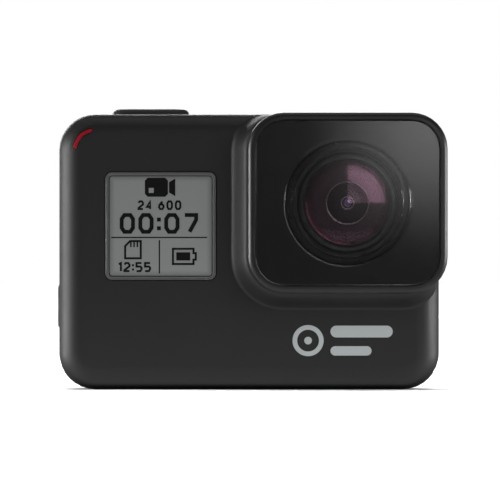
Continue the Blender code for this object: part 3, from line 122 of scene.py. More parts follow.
class CameraColours(bpy.types.PropertyGroup):
    """Colours of the finishes."""

    housing: FloatVectorProperty(
        name="Housing", description="Soft-touch skin of the two shells and the doors",
        subtype="COLOR", size=3, min=0.0, max=1.0, default=(0.0094, 0.0094, 0.0102),
    )
    cover: FloatVectorProperty(
        name="Cover frame", description="Moulded frame of the lens cover",
        subtype="COLOR", size=3, min=0.0, max=1.0, default=(0.0085, 0.0085, 0.0092),
    )
    gloss: FloatVectorProperty(
        name="Gloss black", description="Printed mask of the cover glass and the trim rings",
        subtype="COLOR", size=3, min=0.0, max=1.0, default=(0.0018, 0.0018, 0.002),
    )
    coating: FloatVectorProperty(
        name="Lens coating", description="Tint of the coated lens elements",
        subtype="COLOR", size=3, min=0.0, max=1.0, default=(0.115, 0.064, 0.088),
    )
    light: FloatVectorProperty(
        name="Recording light", description="Red light guide in the upper corner",
        subtype="COLOR", size=3, min=0.0, max=1.0, default=(0.36, 0.012, 0.022),
    )
    display: FloatVectorProperty(
        name="Front display", description="Grey ground of the front status screen",
        subtype="COLOR", size=3, min=0.0, max=1.0, default=(0.34, 0.348, 0.348),
    )
    badge: FloatVectorProperty(
        name="Badge", description="Printed badge on the front face",
        subtype="COLOR", size=3, min=0.0, max=1.0, default=(0.58, 0.62, 0.63),
    )


class CameraSizes(bpy.types.PropertyGroup):
    """Sizes of the fine details."""

    rim_softness: FloatProperty(
        name="Rim softness", description="Radius of the softened rims of moulded pieces",
        unit="LENGTH", min=0.0, default=0.09 * MM,
    )
    ink_height: FloatProperty(
        name="Ink height", description="Thickness of printed marks and display segments",
        unit="LENGTH", min=0.0, default=0.02 * MM,
    )
    digit_stroke: FloatProperty(
        name="Digit stroke", description="Line width of the large counter digits",
        unit="LENGTH", min=0.0, default=0.63 * MM,
    )
    fine_stroke: FloatProperty(
        name="Fine stroke", description="Line width of the small digits and icons",
        unit="LENGTH", min=0.0, default=0.33 * MM,
    )
    badge_ring: FloatProperty(
        name="Badge ring", description="Radius of the ring in the badge",
        unit="LENGTH", min=0.0, default=2.5 * MM,
    )
    mask_window: FloatProperty(
        name="Mask window", description="Radius of the round clear window in the cover glass",
        unit="LENGTH", min=0.0, default=10.5 * MM,
    )


class CameraStage(bpy.types.PropertyGroup):
    """Camera and lights."""

    camera_distance: FloatProperty(
        name="Camera distance", description="From the front of the lens cover to the camera",
        unit="LENGTH", min=0.1, default=2.0,
    )
    view_width: FloatProperty(
        name="View width", description="Width of the view at the front face",
        unit="LENGTH", min=0.01, default=80.3 * MM,
    )
    left_power: FloatProperty(
        name="Left light", description="Strength of the light on the left", min=0.0, default=3.2,
    )
    right_power: FloatProperty(
        name="Right light", description="Strength of the light on the right", min=0.0, default=2.0,
    )
    front_power: FloatProperty(
        name="Front card", description="Brightness of the graded card in front", min=0.0, default=1.2,
    )


class CameraSettings(bpy.types.PropertyGroup):
    """All settings of the finished camera."""

    colours: PointerProperty(type=CameraColours)
    sizes: PointerProperty(type=CameraSizes)
    stage: PointerProperty(type=CameraStage)


def settings():
    return bpy.context.scene.action_camera


# ---------------------------------------------------------------- node groups

def add(tree, kind, inputs=None, **values):
    """A node with its settings and inputs. An input is a constant or the socket that feeds it."""
    made = tree.nodes.new(kind)
    for key, value in values.items():
        setattr(made, key, value)
    for key, value in (inputs or {}).items():
        if isinstance(value, bpy.types.NodeSocket):
            tree.links.new(value, made.inputs[key])
        else:
            made.inputs[key].default_value = value
    return made


def maths(tree, operation, first, second=0.0, clamp=False):
    made = add(tree, "ShaderNodeMath", {0: first, 1: second}, operation=operation, use_clamp=clamp)
    return made.outputs[0]


def scaled(tree, value, factor, offset=0.0, clamp=False):
    """A value times a factor, plus an offset."""
    return maths(tree, "ADD", maths(tree, "MULTIPLY", value, factor), offset, clamp=clamp)


def sharpened(tree, value, threshold, factor):
    """What a value has over a threshold, times a factor and kept from 0 to 1."""
    return maths(tree, "MULTIPLY", maths(tree, "SUBTRACT", value, threshold), factor, clamp=True)


def blend(tree, factor, first, second):
    """A colour mixed from two, each a constant or a socket."""
    # A Mix node keeps its colour sockets after its float and vector ones.
    return add(tree, "ShaderNodeMix", {0: factor, 6: first, 7: second}, data_type="RGBA").outputs[2]


def object_place(tree):
    return add(tree, "ShaderNodeTexCoord").outputs["Object"]


def place_from(tree, centre):
    """The X, Y and Z distances from a point."""
    place = add(
        tree, "ShaderNodeVectorMath", {0: object_place(tree), 1: tuple(centre)}, operation="SUBTRACT",
    )
    return add(tree, "ShaderNodeSeparateXYZ", {0: place.outputs[0]}).outputs


def lens_radius(tree):
    """The distance from the lens axis."""
    place = place_from(tree, LENS)
    across = maths(tree, "POWER", place["X"], 2.0)
    upward = maths(tree, "POWER", place["Z"], 2.0)
    return maths(tree, "SQRT", maths(tree, "ADD", across, upward))


def group_base(name, inputs, outputs):
    """An empty node group with float inputs, given as names and defaults, and float outputs."""
    group = bpy.data.node_groups.new(name, "ShaderNodeTree")
    for label, default in inputs.items():
        socket = group.interface.new_socket(label, in_out="INPUT", socket_type="NodeSocketFloat")
        socket.default_value = default
    for label in outputs:
        group.interface.new_socket(label, in_out="OUTPUT", socket_type="NodeSocketFloat")
    return group, group.nodes.new("NodeGroupInput").outputs, group.nodes.new("NodeGroupOutput").inputs


def moulded_grain():
    """Fine pebbled grain of moulded plastic: a tone and a height, for grains of the given size."""
    defaults = {"Size": 0.25 * MM, "Mottle": 6.0 * MM}
    group, given, result = group_base("moulded_grain", defaults, ("Tone", "Height"))
    place = object_place(group)
    scale = maths(group, "DIVIDE", 1.0, given["Size"])
    pebbles = add(
        group, "ShaderNodeTexVoronoi", {"Vector": place, "Scale": scale, "Randomness": 1.0},
        feature="SMOOTH_F1",
    )
    fine = add(
        group, "ShaderNodeTexNoise", {"Vector": place, "Scale": scale, "Detail": 2.0, "Roughness": 0.6},
    )
    pebble_share, broad_share, fine_share = 0.6, 0.6, 0.4
    height = scaled(group, pebbles.outputs["Distance"], pebble_share, fine.outputs["Fac"])
    broad_scale = maths(group, "DIVIDE", 1.0, given["Mottle"])
    broad = add(group, "ShaderNodeTexNoise", {"Vector": place, "Scale": broad_scale, "Detail": 3.0})
    fine_tone = maths(group, "MULTIPLY", fine.outputs["Fac"], fine_share)
    tone = scaled(group, broad.outputs["Fac"], broad_share, fine_tone)
    group.links.new(tone, result["Tone"])
    group.links.new(height, result["Height"])
    return group


def worn_and_sheened_rims():
    """A mask that is light on rounded rims, broken up by a patchy noise: partly rubbing from hands, partly a
    painted sheen where the rims catch light.
    """
    group, given, result = group_base("worn_and_sheened_rims", {"Radius": 0.25 * MM, "Patch": 1.5 * MM}, ("Mask",))
    rounded = add(group, "ShaderNodeBevel", {"Radius": given["Radius"]}, samples=4)
    true = add(group, "ShaderNodeNewGeometry")
    facing = add(
        group, "ShaderNodeVectorMath", {0: rounded.outputs["Normal"], 1: true.outputs["Normal"]},
        operation="DOT_PRODUCT",
    )
    bend_gain = 6.0
    turned_away = maths(group, "SUBTRACT", 1.0, facing.outputs["Value"])
    bend = maths(group, "MULTIPLY", turned_away, bend_gain, clamp=True)
    patch_scale = maths(group, "DIVIDE", 1.0, given["Patch"])
    patches = add(
        group, "ShaderNodeTexNoise", {"Vector": object_place(group), "Scale": patch_scale, "Detail": 4.0},
    )
    broken = sharpened(group, patches.outputs["Fac"], threshold=0.35, factor=3.0)
    group.links.new(maths(group, "MULTIPLY", bend, broken), result["Mask"])
    return group


def handled_smudge():
    """Soft wipe marks left by fingers: a value from 0 to 1 that varies over the surface."""
    group, given, result = group_base("handled_smudge", {"Size": 9.0 * MM}, ("Value",))
    place = object_place(group)
    scale = maths(group, "DIVIDE", 1.0, given["Size"])
    wipes = add(
        group, "ShaderNodeTexNoise",
        {"Vector": place, "Scale": scale, "Detail": 5.0, "Roughness": 0.65, "Distortion": 1.2},
    )
    group.links.new(sharpened(group, wipes.outputs["Fac"], threshold=0.3, factor=2.2), result["Value"])
    return group


def turned_lines():
    """Fine concentric tool lines of a turned ring round the lens axis, as a height."""
    group, given, result = group_base("turned_lines", {"Pitch": 0.12 * MM}, ("Height",))
    turns = maths(group, "DIVIDE", lens_radius(group), given["Pitch"])
    wave = maths(group, "SINE", maths(group, "MULTIPLY", turns, 2 * math.pi))
    group.links.new(maths(group, "MULTIPLY", wave, 0.5), result["Height"])
    return group


GROUPS = {made.__name__: made for made in (moulded_grain, worn_and_sheened_rims, handled_smudge, turned_lines)}


def grouped(tree, name, **inputs):
    """The outputs of one of the node groups, placed in a material with its own values."""
    group = bpy.data.node_groups.get(name) or GROUPS[name]()
    return add(tree, "ShaderNodeGroup", inputs, node_tree=group).outputs


# ---------------------------------------------------------------- finishes

def lighter(colour, factor):
    """A colour times a factor, with an alpha of 1."""
    return (*[min(1.0, part * factor) for part in colour[:3]], 1.0)


def blank_finish(name):
    made = bpy.data.materials.new(name)
    made.use_nodes = True
    return made, made.node_tree, made.node_tree.nodes["Principled BSDF"]


def set_plain(shader, **values):
    for label, value in values.items():
        shader.inputs[label.replace("_", " ")].default_value = value


def raised(tree, shader, height, strength, depth):
    """Lets a height bend the normal of a shader."""
    bump = add(tree, "ShaderNodeBump", {"Height": height, "Strength": strength, "Distance": depth})
    tree.links.new(bump.outputs["Normal"], shader.inputs["Normal"])


def smudged(tree, shader, rub, roughness, clamp=False, **size):
    """Wipe marks in the roughness of a shader. Gives their value."""
    smudge = grouped(tree, "handled_smudge", **size)["Value"]
    tree.links.new(scaled(tree, smudge, rub, roughness, clamp), shader.inputs["Roughness"])
    return smudge


def moulded(
    name, colour, roughness, size=0.25 * MM, depth=0.012 * MM, tone=0.25, wear=0.0, rub=0.06, **plain,
):
    """Plastic, rubber or metal with grain, a mottled tone, rims lightened by rubbing and a painted sheen,
    and wiped patches.
    """
    made, tree, shader = blank_finish(name)
    set_plain(shader, **plain)
    grain = grouped(tree, "moulded_grain", Size=size)
    shade = blend(tree, grain["Tone"], lighter(colour, 1 - tone), lighter(colour, 1 + tone))
    smudge = grouped(tree, "handled_smudge")["Value"]
    rough = scaled(tree, smudge, rub, roughness - rub / 2, clamp=True)
    # Rims are lightened: partly worn, partly a painted sheen.
    if wear > 0:
        mask = maths(tree, "MULTIPLY", grouped(tree, "worn_and_sheened_rims")["Mask"], wear, clamp=True)
        shade = blend(tree, mask, shade, lighter(colour, RIM_SHEEN_LIGHTER))
        rough = maths(tree, "SUBTRACT", rough, maths(tree, "MULTIPLY", mask, WORN_SMOOTHER), clamp=True)
    tree.links.new(shade, shader.inputs["Base Color"])
    tree.links.new(rough, shader.inputs["Roughness"])
    raised(tree, shader, grain["Height"], GRAIN_STRENGTH, depth)
    return made


def glossy(name, colour, roughness, rub=0.05, **plain):
    """A hard shiny surface with faint wipe marks in its gloss."""
    return moulded(name, colour, roughness, size=1.2 * MM, depth=0.0008 * MM, tone=0.08, rub=rub, **plain)


def turned_finish(name, colour, roughness, pitch, depth, **plain):
    """A turned surface with concentric tool lines."""
    made, tree, shader = blank_finish(name)
    set_plain(shader, **plain)
    lines = grouped(tree, "turned_lines", Pitch=pitch)["Height"]
    smudge = smudged(tree, shader, 0.08, roughness, clamp=True, Size=3.0 * MM)
    shade = blend(tree, smudge, lighter(colour, 0.85), lighter(colour, 1.15))
    tree.links.new(shade, shader.inputs["Base Color"])
    raised(tree, shader, lines, LINE_STRENGTH, depth)
    return made


def clear_glass(name, tint, ior, roughness, **plain):
    """Clear glass that is a little darker where it has been wiped."""
    made, tree, shader = blank_finish(name)
    set_plain(shader, IOR=ior, Transmission_Weight=1.0, Metallic=0.0, Roughness=roughness, **plain)
    smudge = grouped(tree, "handled_smudge", Size=14.0 * MM)["Value"]
    shade = blend(tree, smudge, lighter(tint, 1.0), lighter(tint, 0.97))
    tree.links.new(shade, shader.inputs["Base Color"])
    return made


def radial_ramp(tree, stops):
    """A colour that changes with the distance from the lens axis. Stops hold a radius and a colour."""
    reach = stops[-1][0]
    made = add(tree, "ShaderNodeValToRGB", {"Fac": maths(tree, "DIVIDE", lens_radius(tree), reach)})
    ramp = made.color_ramp
    while len(ramp.elements) < len(stops):
        ramp.elements.new(0.5)
    for element, (distance, colour) in zip(ramp.elements, stops):
        element.position = distance / reach
        element.color = lighter(colour, 1.0)
    return made.outputs["Color"]


def coated_glass(name, stops, roughness, metallic):
    """A coated lens surface that mirrors light in the coating's tint, deeper towards its rim."""
    made, tree, shader = blank_finish(name)
    set_plain(shader, Metallic=metallic)
    tree.links.new(radial_ramp(tree, stops), shader.inputs["Base Color"])
    smudged(tree, shader, 0.03, roughness, Size=5.0 * MM)
    return made


def display_ground(name):
    """The grey ground of the front display: fine dots, and a painted shadow that deepens towards its edge,
    where the bezel wall shades the recessed display.
    """
    made, tree, shader = blank_finish(name)
    colour = settings().colours.display
    low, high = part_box("lcd_window")
    half = (high - low) / 2
    place = place_from(tree, (low + high) / 2)

    def edge_distance(axis, reach):
        return maths(tree, "SUBTRACT", reach, maths(tree, "ABSOLUTE", place[axis]))

    painted_shadow_width, painted_shadow_power, dot_pitch, dot_depth = 0.9 * MM, 0.6, 0.18 * MM, 0.1
    # Painted shadow: the ground is darker near its edge, where the bezel wall would shade it.
    near = maths(tree, "MINIMUM", edge_distance("X", half.x), edge_distance("Z", half.z))
    soft = maths(tree, "POWER", maths(tree, "DIVIDE", near, painted_shadow_width, clamp=True), painted_shadow_power)
    dots = add(
        tree, "ShaderNodeTexVoronoi",
        {"Vector": object_place(tree), "Scale": 1 / dot_pitch, "Randomness": 0.0},
        distance="CHEBYCHEV",
    )
    dotted = maths(tree, "MULTIPLY", dots.outputs["Distance"], dot_depth)
    factor = maths(tree, "SUBTRACT", soft, dotted, clamp=True)
    shade = blend(tree, factor, lighter(colour, 0.5), lighter(colour, 1.0))
    tree.links.new(shade, shader.inputs["Base Color"])
    smudged(tree, shader, 0.1, 0.35)
    return made


def light_guide(name):
    """Red translucent plastic with a mottled tone."""
    made, tree, shader = blank_finish(name)
    colour = settings().colours.light
    set_plain(shader, Subsurface_Weight=0.25, Subsurface_Scale=0.3 * MM)
    grain = grouped(tree, "moulded_grain", Size=0.3 * MM)
    shade = blend(tree, grain["Tone"], lighter(colour, 0.75), lighter(colour, 1.25))
    tree.links.new(shade, shader.inputs["Base Color"])
    smudged(tree, shader, 0.1, 0.25, Size=2.0 * MM)
    return made


def finishes():
    """Every finish by name, as the function that makes it and its values."""
    colours = settings().colours
    housing, cover, gloss, coating = colours.housing, colours.cover, colours.gloss, colours.coating
    ring_stops = (
        (3.3 * MM, lighter(coating, 0.7)), (4.6 * MM, lighter(coating, 1.0)),
        (5.7 * MM, lighter(coating, 0.9)), (6.1 * MM, (0.07, 0.012, 0.026)),
        (6.6 * MM, (0.02, 0.001, 0.005)),
    )
    # The inner element's coating tint; its bright violet centre is a painted reflection on the lens axis.
    eye_tint_and_glint_stops = (
        (0.0, (0.2, 0.1, 0.5)), (0.35 * MM, (0.3, 0.2, 0.4)), (0.8 * MM, (0.07, 0.05, 0.07)),
        (1.2 * MM, (0.012, 0.008, 0.011)), (3.4 * MM, (0.016, 0.009, 0.013)),
    )
    return {
        "soft_touch": (moulded, dict(
            colour=housing, roughness=0.56, size=0.16 * MM, depth=0.006 * MM, tone=0.14, wear=0.35)),
        "cover_plastic": (moulded, dict(
            colour=cover, roughness=0.42, size=0.14 * MM, depth=0.004 * MM, tone=0.12, wear=0.4)),
        "button_plastic": (moulded, dict(
            colour=lighter(housing, 2.3), roughness=0.5, size=0.14 * MM, depth=0.005 * MM, tone=0.12,
            wear=0.45)),
        "mask_black": (glossy, dict(colour=gloss, roughness=0.1)),
        "trim_gloss": (glossy, dict(colour=lighter(gloss, 1.6), roughness=0.17, Specular_IOR_Level=0.9)),
        "pane": (clear_glass, dict(tint=WHITE, ior=1.45, roughness=0.0)),
        "dome_glass": (clear_glass, dict(
            tint=(0.96, 0.9, 0.94), ior=1.3, roughness=0.0, Specular_Tint=(1.0, 0.55, 0.78, 1.0))),
        "coated_ring": (coated_glass, dict(stops=ring_stops, roughness=0.07, metallic=0.9)),
        "coated_eye": (coated_glass, dict(stops=eye_tint_and_glint_stops, roughness=0.05, metallic=0.7)),
        "ring_satin": (turned_finish, dict(
            colour=(0.005, 0.0052, 0.0056), roughness=0.26, pitch=0.12 * MM, depth=0.002 * MM,
            Specular_IOR_Level=0.36)),
        "barrel_satin": (turned_finish, dict(
            colour=(0.02, 0.0215, 0.023), roughness=0.34, pitch=0.1 * MM, depth=0.002 * MM)),
        "iris_satin": (turned_finish, dict(
            colour=(0.3, 0.25, 0.29), roughness=0.22, pitch=0.08 * MM, depth=0.001 * MM, Metallic=0.8)),
        "display_ground": (display_ground, {}),
        "display_ink": (glossy, dict(colour=(0.006, 0.006, 0.0065), roughness=0.4, Specular_IOR_Level=0.15)),
        "window_rim": (glossy, dict(colour=(0.17, 0.173, 0.176), roughness=0.26)),
        "light_guide": (light_guide, {}),
        "badge_print": (moulded, dict(
            colour=colours.badge, roughness=0.42, size=0.12 * MM, depth=0.003 * MM, tone=0.06)),
        "screen_black": (glossy, dict(colour=(0.006, 0.006, 0.007), roughness=0.07, Coat_Weight=0.6)),
        "screen_panel": (glossy, dict(colour=(0.012, 0.0125, 0.015), roughness=0.12)),
        "seal_rubber": (moulded, dict(
            colour=(0.013, 0.013, 0.0135), roughness=0.72, size=0.3 * MM, depth=0.008 * MM, tone=0.25)),
        "bay_plastic": (moulded, dict(
            colour=(0.016, 0.016, 0.017), roughness=0.6, size=0.35 * MM, depth=0.01 * MM, tone=0.2)),
        "battery_wrap": (moulded, dict(
            colour=(0.032, 0.034, 0.038), roughness=0.38, size=0.5 * MM, depth=0.003 * MM, tone=0.1)),
        "pull_tab": (moulded, dict(
            colour=(0.4, 0.42, 0.43), roughness=0.5, size=0.3 * MM, depth=0.008 * MM, tone=0.15)),
        "gold_plate": (glossy, dict(colour=(0.78, 0.56, 0.25), roughness=0.24, Metallic=1.0)),
        "steel": (moulded, dict(
            colour=(0.55, 0.55, 0.56), roughness=0.3, size=0.4 * MM, depth=0.002 * MM, tone=0.1,
            Metallic=1.0)),
        "frame_metal": (moulded, dict(
            colour=(0.34, 0.35, 0.36), roughness=0.42, size=0.5 * MM, depth=0.004 * MM, tone=0.12,
            Metallic=1.0)),
        "board_green": (moulded, dict(
            colour=(0.012, 0.07, 0.035), roughness=0.42, size=0.6 * MM, depth=0.01 * MM, tone=0.3)),
        "chip_black": (moulded, dict(
            colour=(0.018, 0.018, 0.02), roughness=0.45, size=0.3 * MM, depth=0.005 * MM, tone=0.15)),
        "flex_amber": (moulded, dict(
            colour=(0.45, 0.22, 0.05), roughness=0.35, size=0.6 * MM, depth=0.004 * MM, tone=0.15)),
        "sensor_face": (glossy, dict(colour=(0.02, 0.03, 0.05), roughness=0.08)),
    }


def finish(name):
    """The material of that name, made when it is first asked for."""
    if name not in bpy.data.materials:
        make, values = finishes()[name]
        make(name, **values)
    return bpy.data.materials[name]


# ---------------------------------------------------------------- mesh tools

def piece(name, shape, look, body, replaces=(), smooth=30.0):
    """A named piece from a bmesh, with its finish, the body that it moves with and what it stands for."""
    bmesh.ops.recalc_face_normals(shape, faces=shape.faces)
    mesh = bpy.data.meshes.new(name)
    shape.to_mesh(mesh)
    shape.free()
    mesh.shade_smooth()
    mesh.set_sharp_from_angle(angle=math.radians(smooth))
    mesh.materials.append(finish(look))
    made = bpy.data.objects.new(name, mesh)
    bpy.context.scene.collection.objects.link(made)
    weighted = made.modifiers.new("flat_faces", "WEIGHTED_NORMAL")
    weighted.keep_sharp = True
    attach(made, body)
    if replaces:
        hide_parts(*replaces)
    return made


def refined(node, look, rim=None, segments=2):
    """A finer copy of a frame node, with welded seams, flat faces made whole and softened rims."""
    source = frame["nodes"][node]
    shape = bmesh.new()
    shape.from_mesh(source.data)
    bmesh.ops.remove_doubles(shape, verts=shape.verts, dist=WELD_DISTANCE)
    bmesh.ops.dissolve_limit(
        shape, angle_limit=math.radians(FLAT_DEGREES), verts=shape.verts, edges=shape.edges,
        use_dissolve_boundaries=False,
    )
    made = piece(node + "_finished", shape, look, source["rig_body"], (node,))
    soften = made.modifiers.new("soft_rims", "BEVEL")
    soften.width = settings().sizes.rim_softness if rim is None else rim
    soften.segments = segments
    soften.limit_method = "ANGLE"
    soften.angle_limit = math.radians(RIM_DEGREES)
    soften.use_clamp_overlap = True
    soften.miter_outer = "MITER_ARC"
    soften.harden_normals = False
    made.modifiers.move(made.modifiers.find("soft_rims"), 0)
    return made


def skin(rings, looped=False):
    """A mesh through rings of points with equal counts, closed in a loop or by caps.

    A ring of one point is a tip.
    """
    shape = bmesh.new()
    made = [[shape.verts.new(point) for point in ring] for ring in rings]
    pairs = list(zip(made, made[1:]))
    if looped:
        pairs.append((made[-1], made[0]))
    for lower, upper in pairs:
        count = max(len(lower), len(upper))
        if count == 1:
            continue
        for i in range(count):
            j = (i + 1) % count
            corners = [
                lower[i % len(lower)], lower[j % len(lower)], upper[j % len(upper)], upper[i % len(upper)],
            ]
            shape.faces.new(list(dict.fromkeys(corners)))
    if not looped:
        shape.faces.new(made[0])
        shape.faces.new(made[-1])
    return shape


def circle(centre, radius, steps, flatness=1.0):
    """Points round a centre in two axes. A flatness below 1 makes it an oval."""
    points = []
    for step in range(steps):
        angle = 2 * math.pi * step / steps
        across, upward = radius * math.cos(angle), flatness * radius * math.sin(angle)
        points.append((centre[0] + across, centre[1] + upward))
    return points


def turned(profile):
    """A shape turned round the lens axis, from the (radius, Y) points of a closed profile."""
    rings = []
    for radius, y in profile:
        if radius == 0.0:
            rings.append([(LENS.x, y, LENS.z)])
        else:
            rings.append([(x, y, z) for x, z in circle((LENS.x, LENS.z), radius, TURN_STEPS)])
    return skin(rings, looped=True)


def softened(profile, radius, steps=3):
    """A closed profile with each corner rounded by an arc-like curve of about that radius."""
    points = [Vector(point) for point in profile]
    rounded = []
    for before, corner, after in zip(points[-1:] + points[:-1], points, points[1:] + points[:1]):
        to_before, to_after = before - corner, after - corner
        reach = min(radius, 0.45 * to_before.length, 0.45 * to_after.length)
        start = corner + to_before.normalized() * reach
        end = corner + to_after.normalized() * reach
        for step in range(steps + 1):
            t = step / steps
            rounded.append(tuple((1 - t) ** 2 * start + 2 * t * (1 - t) * corner + t * t * end))
    return rounded


def arc_profile(rim, height, rim_y, steps=24):
    """(radius, Y) of a dome from its rim to its tip, bulging towards -Y."""
    ball = (rim * rim + height * height) / (2 * height)
    widest = math.asin(rim / ball)
    points = []
    for step in range(steps, -1, -1):
        angle = widest * step / steps
        points.append((ball * math.sin(angle), rim_y - height + ball * (1 - math.cos(angle))))
    return points


def round_rect(low, high, corner, y, steps=CORNER_STEPS):
    """A rounded rectangle across Y, counted from its left side's lower end."""
    ring = []
    centres = (
        (low.x + corner, low.z + corner, 180), (high.x - corner, low.z + corner, 270),
        (high.x - corner, high.z - corner, 0), (low.x + corner, high.z - corner, 90),
    )
    for x, z, start in centres:
        for step in range(steps + 1):
            angle = math.radians(start + 90 * step / steps)
            ring.append((x + corner * math.cos(angle), y, z + corner * math.sin(angle)))
    return ring


def matching_circle(radius, y):
    """A circle round the lens axis whose points stand opposite those of round_rect."""
    ring = []
    for quarter in range(4):
        for step in range(CORNER_STEPS + 1):
            angle = math.radians(180 + 90 * quarter + 90 * (step + 0.5) / (CORNER_STEPS + 1))
            ring.append((LENS.x + radius * math.cos(angle), y, LENS.z + radius * math.sin(angle)))
    return ring


def inset_rect(low, high, corner, inset, y, least=LEAST_CORNER):
    """A rounded rectangle that stands inside another by an inset."""
    shift = Vector((inset, 0.0, inset))
    return round_rect(low + shift, high - shift, max(corner - inset, least), y)


def plate(low, high, corner, front, back, edge):
    """A rounded plate between two Y places whose front rim is rounded by the edge radius."""
    rings = []
    inwards = 1 if back > front else -1
    for step in range(EDGE_STEPS + 1):
        angle = math.pi / 2 * step / EDGE_STEPS
        y = front + inwards * edge * (1 - math.cos(angle))
        rings.append(inset_rect(low, high, corner, edge * (1 - math.sin(angle)), y))
    rings.append(round_rect(low, high, corner, back))
    return skin(rings)


def stroke(shape, points, width, front, back, closed=False):
    """Adds a flat line of even width through (X, Z) points, with mitred bends, to a mesh."""
    path = [Vector(point) for point in points]
    count = len(path)
    sides = []
    for i, point in enumerate(path):
        before = path[i - 1] if closed or i > 0 else None
        after = path[(i + 1) % count] if closed or i < count - 1 else None
        ways = [(point - before).normalized()] if before is not None else []
        ways += [(after - point).normalized()] if after is not None else []
        normal = sum((Vector((-way.y, way.x)) for way in ways), Vector((0.0, 0.0))).normalized()
        first = Vector((-ways[0].y, ways[0].x))
        reach = width / 2 / max(normal.dot(first), 0.5)
        sides.append((point + normal * reach, point - normal * reach))
    rows = []
    for left, right in sides:
        corners = ((left, front), (right, front), (right, back), (left, back))
        rows.append([shape.verts.new((spot.x, y, spot.y)) for spot, y in corners])
    links = list(zip(rows, rows[1:]))
    if closed:
        links.append((rows[-1], rows[0]))
    for first, second in links:
        for i in range(4):
            j = (i + 1) % 4
            shape.faces.new((first[i], first[j], second[j], second[i]))
    if not closed:
        shape.faces.new(rows[0])
        shape.faces.new(rows[-1])


def slab(shape, outline, front, back):
    """Adds a flat plate with the given (X, Z) outline to a mesh."""
    fronts = [shape.verts.new((x, front, z)) for x, z in outline]
    backs = [shape.verts.new((x, back, z)) for x, z in outline]
    for i in range(len(outline)):
        j = (i + 1) % len(outline)
        shape.faces.new((fronts[i], fronts[j], backs[j], backs[i]))
    shape.faces.new(fronts)
    shape.faces.new(backs)


# ---------------------------------------------------------------- display drawing

BEND = 0.24
NEAR, FAR = BEND, 1 - BEND
# Each digit as points in a unit square, and whether its line closes.
DIGITS = {
    "0": ([(NEAR, 0), (FAR, 0), (1, NEAR), (1, FAR), (FAR, 1), (NEAR, 1), (0, FAR), (0, NEAR)], True),
    "1": ([(0, 0.86), (1, 1), (1, 0)], False),
    "2": ([(0, 0.8), (NEAR, 1), (FAR, 1), (1, 0.8), (1, 0.6), (0, 0.12), (0, 0), (1, 0)], False),
    "4": ([(0.72, 0), (0.72, 1), (0, 0.28), (0.6, 0.28)], False),
    "5": ([(1, 1), (0, 1), (0, 0.56), (FAR, 0.56), (1, 0.4), (1, NEAR), (FAR, 0), (0, 0)], False),
    "6": (
        [
            (0.75, 1), (0.08, 0.5), (0, NEAR), (NEAR, 0), (FAR, 0),
            (1, NEAR), (1, 0.42), (FAR, 0.6), (0.3, 0.6),
        ],
        False,
    ),
    "7": ([(0, 1), (1, 1), (1, 0.72), (0.42, 0)], False),
}
COLON_DOTS = (0.22, 0.64)
NARROW_ONE = 0.6


class DisplayInk:
    """Draws segments on a display, in millimetres rightwards and down from its upper left corner."""

    def __init__(self, left, top, front, back):
        self.left, self.top = left, top
        self.front, self.back = front, back
        self.shape = bmesh.new()

    def spots(self, points):
        return [(self.left + across * MM, self.top - down * MM) for across, down in points]

    def line(self, points, width, closed=False):
        stroke(self.shape, self.spots(points), width * MM, self.front, self.back, closed)

    def area(self, points):
        slab(self.shape, self.spots(points), self.front, self.back)

    def block(self, across, down, width, height, chamfer=0.0):
        right, bottom = across + width, down + height
        outline = (
            (across + chamfer, down), (right - chamfer, down), (right, down + chamfer),
            (right, bottom - chamfer), (right - chamfer, bottom), (across + chamfer, bottom),
            (across, bottom - chamfer), (across, down + chamfer),
        )
        self.area(dict.fromkeys(outline))

    def digits(self, text, across, down, width, height, gap, line):
        """Digits in a row. A colon takes a narrower place."""
        for mark in text:
            if mark == ":":
                for share in COLON_DOTS:
                    self.block(across, down + share * height, line, line)
                across += line + gap
                continue
            if mark == " ":
                across += 2 * gap
                continue
            path, closed = DIGITS[mark]
            wide = width * (NARROW_ONE if mark == "1" else 1.0)
            left, bottom = across + line / 2, down + height - line / 2
            points = [(left + x * (wide - line), bottom - z * (height - line)) for x, z in path]
            self.line(points, line, closed)
            across += wide + gap


def draw_display(ink, sizes):
    """A camera icon, a rate, a large counter, and card and battery fields below a rule."""
    fine, bold = sizes.fine_stroke / MM, sizes.digit_stroke / MM
    ink.block(across=5.69, down=0.25, width=3.71, height=3.05, chamfer=0.45)
    ink.area([(9.57, 0.95), (10.57, 0.38), (10.57, 3.2), (9.57, 2.6)])
    ink.digits("24 600", across=4.5, down=3.88, width=1.05, height=1.55, gap=0.3, line=fine)
    ink.digits("00:07", across=1.65, down=5.92, width=2.45, height=3.32, gap=0.54, line=bold)
    ink.block(across=0.28, down=9.74, width=15.4, height=0.2)
    ink.block(across=7.92, down=10.26, width=0.2, height=5.36)
    # Memory card with its cut corner and contact fingers.
    left, top, right, bottom, cut = 2.52, 10.42, 5.03, 13.18, 0.8
    outline = [(left + cut, top), (right, top), (right, bottom), (left, bottom), (left, top + cut)]
    ink.line(outline, fine, closed=True)
    for finger in range(3):
        ink.block(across=left + cut + finger * 0.52, down=top + fine / 2, width=0.24, height=0.8)
    ink.digits("12:55", across=1.33, down=13.78, width=1.13, height=1.62, gap=0.24, line=fine)
    # Battery with its tip and charge.
    left, right, tip = 10.2, 13.5, 13.87
    top, tip_top, tip_bottom, bottom = 11.66, 12.36, 13.4, 14.1
    outline = [
        (left, top), (right, top), (right, tip_top), (tip, tip_top),
        (tip, tip_bottom), (right, tip_bottom), (right, bottom), (left, bottom),
    ]
    ink.line(outline, fine, closed=True)
    ink.block(across=10.73, down=12.22, width=2.24, height=1.31)


# ---------------------------------------------------------------- operators

class ACTIONCAM_OT_housing(bpy.types.Operator):
    """Finish the front and rear shells"""

    bl_idname = "actioncam.housing"
    bl_label = "Housing"

    def execute(self, context):
        refined("front_shell", "soft_touch")
        refined("rear_shell", "soft_touch")
        refined("rear_gasket", "seal_rubber", rim=FINE_RIM)
        return {"FINISHED"}


